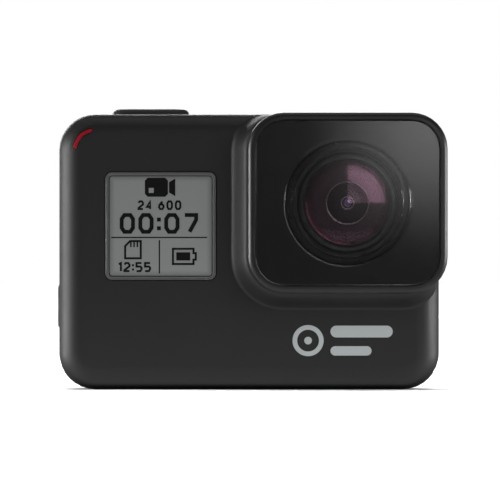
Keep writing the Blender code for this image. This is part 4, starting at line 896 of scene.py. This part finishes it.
class ACTIONCAM_OT_buttons(bpy.types.Operator):
    """Finish the shutter and mode buttons with their seals and marks"""

    bl_idname = "actioncam.buttons"
    bl_label = "Buttons"

    def execute(self, context):
        for node in ("shutter_button", "mode_button"):
            refined(node, "button_plastic", rim=0.12 * MM, segments=3)
            refined(node + "_seal", "seal_rubber", rim=FINE_RIM)
        self.shutter_ring()
        self.mode_mark()
        return {"FINISHED"}

    @staticmethod
    def shutter_ring():
        """A thin oval ring laid into the top of the shutter button."""
        low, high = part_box("shutter_button")
        inset, corner, width, depth = 2.7 * MM, 1.6 * MM, 0.25 * MM, 0.12 * MM
        top = high.z + SKIN_GAP
        shape = bmesh.new()
        # It is drawn upright and then laid flat.
        inner_low = Vector((low.x + inset, 0.0, low.y + inset))
        inner_high = Vector((high.x - inset, 0.0, high.y - inset))
        outline = round_rect(inner_low, inner_high, corner, 0.0)
        stroke(shape, [(x, z) for x, _, z in outline], width, 0.0, depth, closed=True)
        for vertex in shape.verts:
            across, inwards, along = vertex.co
            vertex.co = (across, along, top - inwards)
        piece("shutter_ring", shape, "trim_gloss", "shutter_button")

    @staticmethod
    def mode_mark():
        """A small outlined oblong on the side button."""
        low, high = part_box("mode_button")
        middle = (low + high) / 2
        face = low.x - SKIN_GAP
        half_length, half_height, width, depth = 1.3 * MM, 0.85 * MM, 0.22 * MM, 0.05 * MM
        back, front = middle.y - half_length, middle.y + half_length
        bottom, top = middle.z - half_height, middle.z + half_height
        shape = bmesh.new()
        outline = [(back, bottom), (front, bottom), (front, top), (back, top)]
        stroke(shape, outline, width, 0.0, depth, closed=True)
        for vertex in shape.verts:
            along, inwards, upward = vertex.co
            vertex.co = (face + inwards, along, upward)
        piece("mode_mark", shape, "badge_print", "mode_button")


class ACTIONCAM_OT_doors(bpy.types.Operator):
    """Finish the battery door and the side door with their seals, pins and latches"""

    bl_idname = "actioncam.doors"
    bl_label = "Doors"

    def execute(self, context):
        for door in ("battery_door", "side_door"):
            refined(door, "soft_touch")
            refined(door + "_seal", "seal_rubber", rim=FINE_RIM)
            refined(door + "_pin", "steel", rim=FINE_RIM)
            refined(door + "_latch", "button_plastic", rim=SMALL_RIM)
        self.battery_latch_ribs()
        self.side_latch_ribs()
        return {"FINISHED"}

    @staticmethod
    def ribs(name, body, count, place):
        """Half-round grip ribs. The given function turns (along, across, out) into a point."""
        shape = bmesh.new()
        steps = 6
        width, pitch, length, height = 0.3 * MM, 0.62 * MM, 2.6 * MM, 0.09 * MM
        for rib in range(count):
            middle = (rib - (count - 1) / 2) * pitch
            ends = []
            for across in (-length / 2, length / 2):
                row = []
                for step in range(steps + 1):
                    angle = math.pi * step / steps
                    point = place(middle + width / 2 * math.cos(angle), across, height * math.sin(angle))
                    row.append(shape.verts.new(point))
                ends.append(row)
            for i in range(steps):
                shape.faces.new((ends[0][i], ends[0][i + 1], ends[1][i + 1], ends[1][i]))
            shape.faces.new((ends[0][0], ends[0][-1], ends[1][-1], ends[1][0]))
            for row in ends:
                shape.faces.new(row)
        piece(name, shape, "button_plastic", body)

    def battery_latch_ribs(self):
        low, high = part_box("battery_door_latch")
        middle = (low + high) / 2
        row_x, face = middle.x - 0.35 * MM, low.z + SKIN_GAP
        self.ribs(
            "battery_latch_ribs", "battery_door_latch", 4,
            lambda along, across, out: (row_x + along, middle.y + across, face - out),
        )

    def side_latch_ribs(self):
        low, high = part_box("side_door_latch")
        middle_y = (low.y + high.y) / 2
        row_z, face = high.z - 1.0 * MM, high.x - SKIN_GAP
        self.ribs(
            "side_latch_ribs", "side_door_latch", 1,
            lambda along, across, out: (face + out, middle_y + across, row_z + along),
        )


class ACTIONCAM_OT_front_display(bpy.types.Operator):
    """Build the front status display with its bezel and segments"""

    bl_idname = "actioncam.front_display"
    bl_label = "Front display"

    def execute(self, context):
        sizes = settings().sizes
        window_low, window_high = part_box("lcd_window")
        face = window_low.y
        self.bezel(face)
        corner, edge = 0.5 * MM, 0.05 * MM
        ground = plate(window_low, window_high, corner, face, window_high.y, edge)
        piece("display_face", ground, "display_ground", "housing", ("lcd_window",))
        ink = DisplayInk(window_low.x, window_high.z, face - sizes.ink_height, face + SKIN_GAP)
        draw_display(ink, sizes)
        piece("display_segments", ink.shape, "display_ink", "housing")
        light = DisplayInk(ink.left, ink.top, ink.front - sizes.ink_height, face)
        light.block(across=6.31, down=1.88, width=0.8, height=0.8)
        piece("display_icon_window", light.shape, "display_ground", "housing")
        return {"FINISHED"}

    @staticmethod
    def bezel(face):
        """A rounded outer rim, a fine groove, an inner rim and a wall down to the display's face."""
        low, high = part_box("lcd_bezel")
        corner, least = 1.1 * MM, 0.3 * MM
        rim, groove, wall, thickness = 0.16 * MM, 0.1 * MM, 0.53 * MM, 0.75 * MM
        second = rim + groove
        # Each step's inset and its depth behind the front.
        levels = (
            (0.0, 0.14 * MM), (0.05 * MM, 0.04 * MM), (rim * 0.6, 0.0), (rim, 0.02 * MM),
            (rim + 0.05 * MM, 0.14 * MM), (second, 0.15 * MM), (second + 0.06 * MM, 0.08 * MM),
            (second + rim, 0.08 * MM), (second + rim + 0.1 * MM, 0.13 * MM),
            (wall, face - low.y), (wall, thickness), (0.0, thickness),
        )
        rings = [inset_rect(low, high, corner, inset, low.y + depth, least) for inset, depth in levels]
        piece(
            "display_bezel", skin(rings, looped=True), "window_rim", "housing",
            ("lcd_bezel",), 40.0,
        )


class ACTIONCAM_OT_record_light(bpy.types.Operator):
    """Finish the red light guide in the corner"""

    bl_idname = "actioncam.record_light"
    bl_label = "Recording light"

    def execute(self, context):
        refined("status_light_guide", "light_guide", rim=0.06 * MM)
        return {"FINISHED"}


class ACTIONCAM_OT_badge(bpy.types.Operator):
    """Print a plain ring, a dot and two bars on the lower right of the front face"""

    bl_idname = "actioncam.badge"
    bl_label = "Badge"

    def execute(self, context):
        sizes = settings().sizes
        shape = bmesh.new()
        radius, line, dot_radius = sizes.badge_ring, 0.75 * MM, 0.62 * MM
        gap, length = 1.1 * MM, 16.1 * MM
        front, back = FACE_Y - sizes.ink_height, FACE_Y + SKIN_GAP
        left, middle_z = LENS.x - 8.8 * MM, 7.85 * MM
        centre = (left + radius, middle_z)
        ring_steps, dot_steps, end_steps = 48, 24, 6
        stroke(shape, circle(centre, radius - line / 2, ring_steps), line, front, back, closed=True)
        slab(shape, circle(centre, dot_radius, dot_steps), front, back)
        start, end = left + 2 * radius + gap, left + length
        # Each bar's height from the ring's middle, where it ends and its thickness.
        bars = ((1.45 * MM, end, 1.9 * MM), (-1.65 * MM, end - 3.4 * MM, 1.5 * MM))
        nearly_half = 0.499
        for offset, reach, height in bars:
            low = Vector((start, 0.0, middle_z + offset - height / 2))
            high = Vector((reach, 0.0, middle_z + offset + height / 2))
            outline = round_rect(low, high, height * nearly_half, 0.0, steps=end_steps)
            slab(shape, [(x, z) for x, _, z in outline], front, back)
        piece("front_badge", shape, "badge_print", "housing")
        return {"FINISHED"}


class ACTIONCAM_OT_lens_cover(bpy.types.Operator):
    """Build the twist-off lens cover: its frame, clear pane, black mask, window ring and seal"""

    bl_idname = "actioncam.lens_cover"
    bl_label = "Lens cover"

    def execute(self, context):
        refined("lens_cover_frame", "cover_plastic", rim=0.1 * MM)
        self.pane_and_mask(settings().sizes.mask_window)
        self.seal_ring()
        return {"FINISHED"}

    @staticmethod
    def pane_and_mask(window):
        """The clear pane, the black mask behind it and the ring round the mask's window."""
        low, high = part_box("lens_cover_glass")
        corner, edge, mask_thickness, mask_inset = 4.55 * MM, 0.14 * MM, 0.16 * MM, 0.05 * MM
        front, back = high.y - mask_thickness, high.y
        pane = plate(low, high, corner, low.y, front - SKIN_GAP, edge)
        piece("cover_pane", pane, "pane", "lens_cover", ("lens_cover_glass",))
        inset = Vector((mask_inset, 0.0, mask_inset))
        mask = skin(
            [
                round_rect(low + inset, high - inset, corner, front), matching_circle(window, front),
                matching_circle(window, back), round_rect(low + inset, high - inset, corner, back),
            ],
            looped=True,
        )
        piece("cover_mask", mask, "mask_black", "lens_cover")
        # The ring's sloped face looks inwards all round the window.
        slope_width, slope_depth, neck_wall, neck_depth = 0.5 * MM, 0.4 * MM, 0.14 * MM, 0.9 * MM
        outer, inner = window - SKIN_GAP, window - slope_width
        neck, neck_back = inner + neck_wall, back + neck_depth
        ring = (
            (outer, front), (inner, front + slope_depth), (inner, neck_back),
            (neck, neck_back), (neck, back), (outer, back),
        )
        ring = turned(softened(ring, 0.04 * MM))
        piece("cover_window_ring", ring, "trim_gloss", "lens_cover", smooth=40.0)

    @staticmethod
    def seal_ring():
        low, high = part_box("lens_cover_seal")
        band, rounding = 0.6 * MM, 0.25 * MM
        outer = (high.x - low.x) / 2
        inner = outer - band
        profile = softened(
            ((outer, low.y), (outer, high.y), (inner, high.y), (inner, low.y)), rounding, steps=4,
        )
        piece(
            "cover_seal_ring", turned(profile), "seal_rubber", "lens_cover_seal",
            ("lens_cover_seal",), 60.0,
        )


class ACTIONCAM_OT_lens(bpy.types.Operator):
    """Build the lens: its bezel ring, barrel, front dome, coated ring, iris ring and inner element"""

    bl_idname = "actioncam.lens"
    bl_label = "Lens"

    def execute(self, context):
        self.bezel_ring()
        self.barrel()
        self.coated_ring(self.dome())
        self.second_element()
        refined("lens_rear_element", "coated_eye", rim=FINE_RIM)
        refined("lens_holder", "chip_black")
        refined("image_sensor", "sensor_face", rim=FINE_RIM)
        return {"FINISHED"}

    @staticmethod
    def bezel_ring():
        """A ring whose crest stands near its bore, with a short slope inwards."""
        low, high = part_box("lens_bezel_ring")
        outer = (high.x - low.x) / 2
        front, back = low.y, high.y
        inner = outer - 1.2 * MM
        crest, slope_depth = inner + 0.45 * MM, 0.35 * MM
        ring = (
            (outer, front + 0.3 * MM), (outer - 0.12 * MM, front + 0.1 * MM), (crest, front),
            (crest - 0.05 * MM, front + 0.02 * MM), (inner, front + slope_depth), (inner, back),
            (outer, back),
        )
        piece(
            "lens_front_ring", turned(softened(ring, 0.05 * MM)), "ring_satin", "housing",
            ("lens_bezel_ring",), 35.0,
        )

    @staticmethod
    def barrel():
        """A tube with a funnel round the dome and a floor behind the inner ring."""
        low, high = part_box("lens_barrel")
        outer = (high.x - low.x) / 2
        dome_low, dome_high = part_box("lens_front_element")
        gap, bore = 0.15 * MM, 3.45 * MM
        mouth = (dome_high.x - dome_low.x) / 2 + gap
        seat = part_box("lens_inner_ring")[1].y + gap
        front, back = low.y, high.y
        funnel_width, funnel_depth, flat = 0.33 * MM, 0.28 * MM, 0.09 * MM
        lip = mouth + funnel_width
        face = (
            (mouth, front + funnel_depth), (lip, front), (lip + flat, front),
            (outer - 0.3 * MM, front + 0.15 * MM), (outer - 0.08 * MM, front + 0.4 * MM),
            (outer, front + 0.7 * MM), (outer, back), (bore, back), (bore, seat), (mouth, seat),
        )
        piece(
            "lens_barrel_turned", turned(softened(face, 0.05 * MM)), "barrel_satin", "housing",
            ("lens_barrel",), 35.0,
        )

    @staticmethod
    def dome():
        """The hollow front element. Gives the radius of its rim."""
        low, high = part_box("lens_front_element")
        wall, rim_wall = 0.85 * MM, 0.5 * MM
        rim = (high.x - low.x) / 2
        rim_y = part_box("lens_barrel")[0].y
        outside = arc_profile(rim, rim_y - low.y, rim_y)
        inside = [(radius, y + wall) for radius, y in arc_profile(rim - rim_wall, rim_y - low.y, rim_y)]
        profile = outside + inside[::-1] + [(rim - rim_wall, high.y), (rim, high.y)]
        piece("lens_dome", turned(profile), "dome_glass", "housing", ("lens_front_element",))
        return rim

    @staticmethod
    def coated_ring(rim):
        """The bulging coated ring behind the dome, and the fine iris ring round its hole."""
        low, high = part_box("lens_inner_ring")
        hole, reach, height, sink, bead_radius = 3.35 * MM, rim - 0.05 * MM, 0.75 * MM, 0.1 * MM, 0.13 * MM
        bulge = [point for point in arc_profile(reach, height, low.y + sink) if point[0] > hole]
        bowl = bulge + [(hole, high.y - sink), (reach, high.y - sink)]
        piece(
            "lens_coated_ring", turned(bowl), "coated_ring", "housing",
            ("lens_inner_ring",), 25.0,
        )
        bead = circle((hole, bulge[-1][1]), bead_radius, steps=12)
        piece("lens_iris_ring", turned(bead), "iris_satin", "housing", smooth=180.0)

    @staticmethod
    def second_element():
        """The second glass with two fine rings round its pupil."""
        rim, height, thickness, depth = 3.2 * MM, 0.9 * MM, 0.3 * MM, 0.5 * MM
        rim_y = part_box("lens_inner_ring")[1].y + depth
        eye = arc_profile(rim, height, rim_y) + [(0.0, rim_y + thickness), (rim, rim_y + thickness)]
        piece("lens_second_element", turned(eye), "coated_eye", "housing", smooth=25.0)
        ball = (rim ** 2 + height ** 2) / (2 * height)
        pupil_rings = ((0.98 * MM, 0.12 * MM), (0.5 * MM, 0.07 * MM))
        for number, (radius, thick) in enumerate(pupil_rings, start=1):
            y = rim_y - height + ball - math.sqrt(ball * ball - radius * radius)
            bead = circle((radius, y), thick, steps=10, flatness=0.5)
            name = f"lens_pupil_ring_{number}"
            piece(name, turned(bead), "iris_satin", "housing", smooth=180.0)


class ACTIONCAM_OT_rear_screen(bpy.types.Operator):
    """Build the rear touch screen"""

    bl_idname = "actioncam.rear_screen"
    bl_label = "Rear screen"

    def execute(self, context):
        low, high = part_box("rear_screen_glass")
        corner, edge = 2.6 * MM, 0.3 * MM
        glass = plate(low, high, corner, high.y, low.y, edge)
        piece(
            "rear_touch_glass", glass, "screen_black", "housing",
            ("rear_screen_glass",), 25.0,
        )
        side, top, corner, sunk, proud = 2.0 * MM, 2.4 * MM, 0.6 * MM, 0.01 * MM, 0.012 * MM
        inset = Vector((side, 0.0, top))
        area = [
            round_rect(low + inset, high - inset, corner, y) for y in (high.y - sunk, high.y + proud)
        ]
        piece("rear_active_area", skin(area), "screen_panel", "housing")
        refined("rear_screen_panel", "screen_panel", rim=FINE_RIM)
        return {"FINISHED"}


INNER_FINISHES = {
    "lcd_panel": ("screen_panel", "display"),
    "status_led": ("pull_tab", "status_light"),
    "shutter_switch": ("steel", "bright_metal"),
    "mode_switch": ("steel", "bright_metal"),
    "battery_bay": ("bay_plastic", "inner_plastic"),
    "battery_contacts": ("gold_plate", "contact_gold"),
    "card_socket": ("steel", "bright_metal"),
    "memory_card": ("chip_black", "chip"),
    "inner_frame": ("frame_metal", "frame_metal"),
    "main_board": ("board_green", "board"),
    "frame_screw_1": ("steel", "bright_metal"),
    "frame_screw_2": ("steel", "bright_metal"),
    "frame_screw_3": ("steel", "bright_metal"),
    "frame_screw_4": ("steel", "bright_metal"),
    "processor": ("chip_black", "chip"),
    "heat_spreader": ("frame_metal", "frame_metal"),
    "sensor_board": ("board_green", "board"),
    "sensor_flex_cable": ("flex_amber", "flex"),
    "port_board": ("board_green", "board"),
    "usb_port": ("steel", "bright_metal"),
    "hdmi_port": ("steel", "bright_metal"),
    "speaker": ("chip_black", "chip"),
    "microphone_top": ("chip_black", "chip"),
    "microphone_side": ("chip_black", "chip"),
    "wifi_antenna": ("gold_plate", "contact_gold"),
}


class ACTIONCAM_OT_inside(bpy.types.Operator):
    """Finish the battery, card, ports, boards and the rest inside the housing"""

    bl_idname = "actioncam.inside"
    bl_label = "Inside"

    def execute(self, context):
        for node, (look, slot) in INNER_FINISHES.items():
            refined(node, look, rim=FINE_RIM)
        refined("battery", "battery_wrap", rim=SMALL_RIM)
        refined("battery_pull_tab", "pull_tab", rim=SMALL_RIM)
        return {"FINISHED"}


class ACTIONCAM_OT_stage(bpy.types.Operator):
    """Set up the pale floor, the soft lights and the camera in front"""

    bl_idname = "actioncam.stage"
    bl_label = "Stage"

    def execute(self, context):
        stage = settings().stage
        scene = context.scene
        scene.view_settings.view_transform = "Standard"
        floor = self.floor()
        self.world(scene)
        self.graded_card(stage.front_power)
        body = Vector((0.0, 0.0, 0.022))
        above_card = Vector((0.0, -0.0265, 1.0))
        # Each light's place, power, width and height, and what it faces.
        lights = {
            "left_light": ((-0.4, 0.0, 0.0), stage.left_power, 0.26, 0.12, body),
            "right_light": ((0.37, 0.01, 0.0), stage.right_power, 0.18, 0.12, body),
            "rear_light": ((-0.1, 0.5, 0.16), 2.0, 0.35, 0.2, body),
            "top_light": ((0.0, 0.1, 0.6), 0.6, 0.6, 0.4, body),
            "bounce_card": ((0.0, -0.0265, 0.0002), 0.0068, 0.09, 0.04, above_card),
        }
        for name, values in lights.items():
            self.soft_light(name, *values)
        self.sun(scene, floor)
        self.camera(scene, stage)
        return {"FINISHED"}

    @staticmethod
    def floor():
        """A wide pale floor just below the body."""
        half, drop, speckles = 6.0, 0.03 * MM, 40.0
        shape = bmesh.new()
        bmesh.ops.create_grid(shape, x_segments=8, y_segments=8, size=half)
        mesh = bpy.data.meshes.new("floor")
        shape.to_mesh(mesh)
        shape.free()
        made = bpy.data.objects.new("floor", mesh)
        bpy.context.scene.collection.objects.link(made)
        made.location.z = -drop
        look, tree, shader = blank_finish("pale_floor")
        speckle = add(tree, "ShaderNodeTexNoise", {"Vector": object_place(tree), "Scale": speckles})
        pale = blend(tree, speckle.outputs["Fac"], *FLOOR_TONES)
        path = add(tree, "ShaderNodeLightPath")
        # The floor gives back less light than it shows, so that it doesn't wash out the dark body.
        shade = blend(tree, path.outputs["Is Camera Ray"], FLOOR_BOUNCE, pale)
        tree.links.new(shade, shader.inputs["Base Color"])
        set_plain(shader, Roughness=0.9, Specular_IOR_Level=0.0)
        # It can be looked through from below.
        side = add(tree, "ShaderNodeNewGeometry")
        clear = add(tree, "ShaderNodeBsdfTransparent")
        choice = {0: side.outputs["Backfacing"], 1: shader.outputs[0], 2: clear.outputs[0]}
        both = add(tree, "ShaderNodeMixShader", choice)
        tree.links.new(both.outputs[0], tree.nodes["Material Output"].inputs["Surface"])
        mesh.materials.append(look)
        made.visible_transmission = False
        return made

    @staticmethod
    def world(scene):
        """A backdrop that is white to the camera and dim to everything else."""
        dim, full = 0.03, 1.0
        world = bpy.data.worlds.new("studio")
        world.use_nodes = True
        scene.world = world
        tree = world.node_tree
        background = tree.nodes["Background"]
        path = add(tree, "ShaderNodeLightPath")
        level = add(tree, "ShaderNodeMapRange", {0: path.outputs["Is Camera Ray"], 3: dim, 4: full})
        tree.links.new(level.outputs[0], background.inputs["Strength"])
        background.inputs["Color"].default_value = WHITE

    @staticmethod
    def graded_card(power):
        """A large card in front, unseen itself, dark at the lower left and bright at the upper right."""
        distance, half, least = 0.6, 0.6, 0.08
        fade_across, fade_upward = (10 * MM, 37 * MM), (20 * MM, 49 * MM)
        shape = bmesh.new()
        bmesh.ops.create_grid(shape, x_segments=2, y_segments=2, size=half)
        bmesh.ops.rotate(shape, verts=shape.verts, matrix=Matrix.Rotation(math.pi / 2, 3, "X"))
        mesh = bpy.data.meshes.new("graded_card")
        shape.to_mesh(mesh)
        shape.free()
        made = bpy.data.objects.new("graded_card", mesh)
        made.location = (0.0, -distance, 0.0)
        bpy.context.scene.collection.objects.link(made)
        look = bpy.data.materials.new("graded_light")
        look.use_nodes = True
        tree = look.node_tree
        tree.nodes.clear()
        split = add(tree, "ShaderNodeSeparateXYZ", {0: object_place(tree)})

        def fade(axis, start, end):
            return add(
                tree, "ShaderNodeMapRange", {0: split.outputs[axis], 1: start, 2: end, 3: 0.0, 4: 1.0},
                interpolation_type="SMOOTHSTEP",
            ).outputs[0]

        corner = maths(tree, "MULTIPLY", fade("X", *fade_across), fade("Z", *fade_upward))
        level = maths(tree, "MULTIPLY", maths(tree, "ADD", corner, least), power)
        glow = add(tree, "ShaderNodeEmission", {"Strength": level})
        output = add(tree, "ShaderNodeOutputMaterial")
        tree.links.new(glow.outputs[0], output.inputs["Surface"])
        mesh.materials.append(look)
        made.visible_camera = False
        made.visible_shadow = False

    @staticmethod
    def soft_light(name, place, power, width, height, target):
        """A soft rectangular light that faces a target."""
        light = bpy.data.lights.new(name, "AREA")
        light.shape = "RECTANGLE"
        light.size, light.size_y = width, height
        light.energy = power
        made = bpy.data.objects.new(name, light)
        made.location = place
        made.rotation_euler = (target - Vector(place)).to_track_quat("-Z", "Y").to_euler()
        made.visible_camera = False
        bpy.context.scene.collection.objects.link(made)

    @staticmethod
    def sun(scene, floor):
        """A wide sun that lights only the floor, so that the body keeps its own light."""
        light = bpy.data.lights.new("floor_sun", "SUN")
        spread, tilt = 70, -12
        light.energy = 4.1
        light.angle = math.radians(spread)
        made = bpy.data.objects.new("floor_sun", light)
        made.rotation_euler = (math.radians(tilt), 0.0, 0.0)
        scene.collection.objects.link(made)
        lit = bpy.data.collections.new("lit_by_sun")
        lit.objects.link(floor)
        made.light_linking.receiver_collection = lit

    @staticmethod
    def camera(scene, stage):
        """A camera square to the front, as wide as the view width at the front face."""
        side, height = -0.35 * MM, 22.4 * MM
        data = bpy.data.cameras.new("front_camera")
        made = bpy.data.objects.new("front_camera", data)
        reach = stage.camera_distance - COVER_LOW.y
        data.lens = data.sensor_width * (reach + FACE_Y) / stage.view_width
        made.location = (side, -reach, height)
        made.rotation_euler = (math.pi / 2, 0.0, 0.0)
        data.clip_start, data.clip_end = 0.01, 50.0
        scene.collection.objects.link(made)
        scene.camera = made


# ---------------------------------------------------------------- panel and running

STEPS = (
    ACTIONCAM_OT_housing, ACTIONCAM_OT_buttons, ACTIONCAM_OT_doors, ACTIONCAM_OT_front_display,
    ACTIONCAM_OT_record_light, ACTIONCAM_OT_badge, ACTIONCAM_OT_lens_cover, ACTIONCAM_OT_lens,
    ACTIONCAM_OT_rear_screen, ACTIONCAM_OT_inside, ACTIONCAM_OT_stage,
)


class ACTIONCAM_PT_panel(bpy.types.Panel):
    """Lists the steps that build the finished camera"""

    bl_idname = "ACTIONCAM_PT_panel"
    bl_label = "Action Camera"
    bl_space_type = "VIEW_3D"
    bl_region_type = "UI"
    bl_category = "Action Camera"

    def draw(self, context):
        for step in STEPS:
            self.layout.operator(step.bl_idname)
        for group in (settings().colours, settings().sizes, settings().stage):
            for label in group.bl_rna.properties.keys():
                if label not in ("rna_type", "name"):
                    self.layout.prop(group, label)


CLASSES = (CameraColours, CameraSizes, CameraStage, CameraSettings, *STEPS, ACTIONCAM_PT_panel)


def register():
    for made in CLASSES:
        bpy.utils.register_class(made)
    bpy.types.Scene.action_camera = PointerProperty(type=CameraSettings)


def unregister():
    del bpy.types.Scene.action_camera
    for made in reversed(CLASSES):
        bpy.utils.unregister_class(made)


def main():
    register()
    for step in STEPS:
        group, name = step.bl_idname.split(".")
        getattr(getattr(bpy.ops, group), name)()


if __name__ == "__main__":
    main()
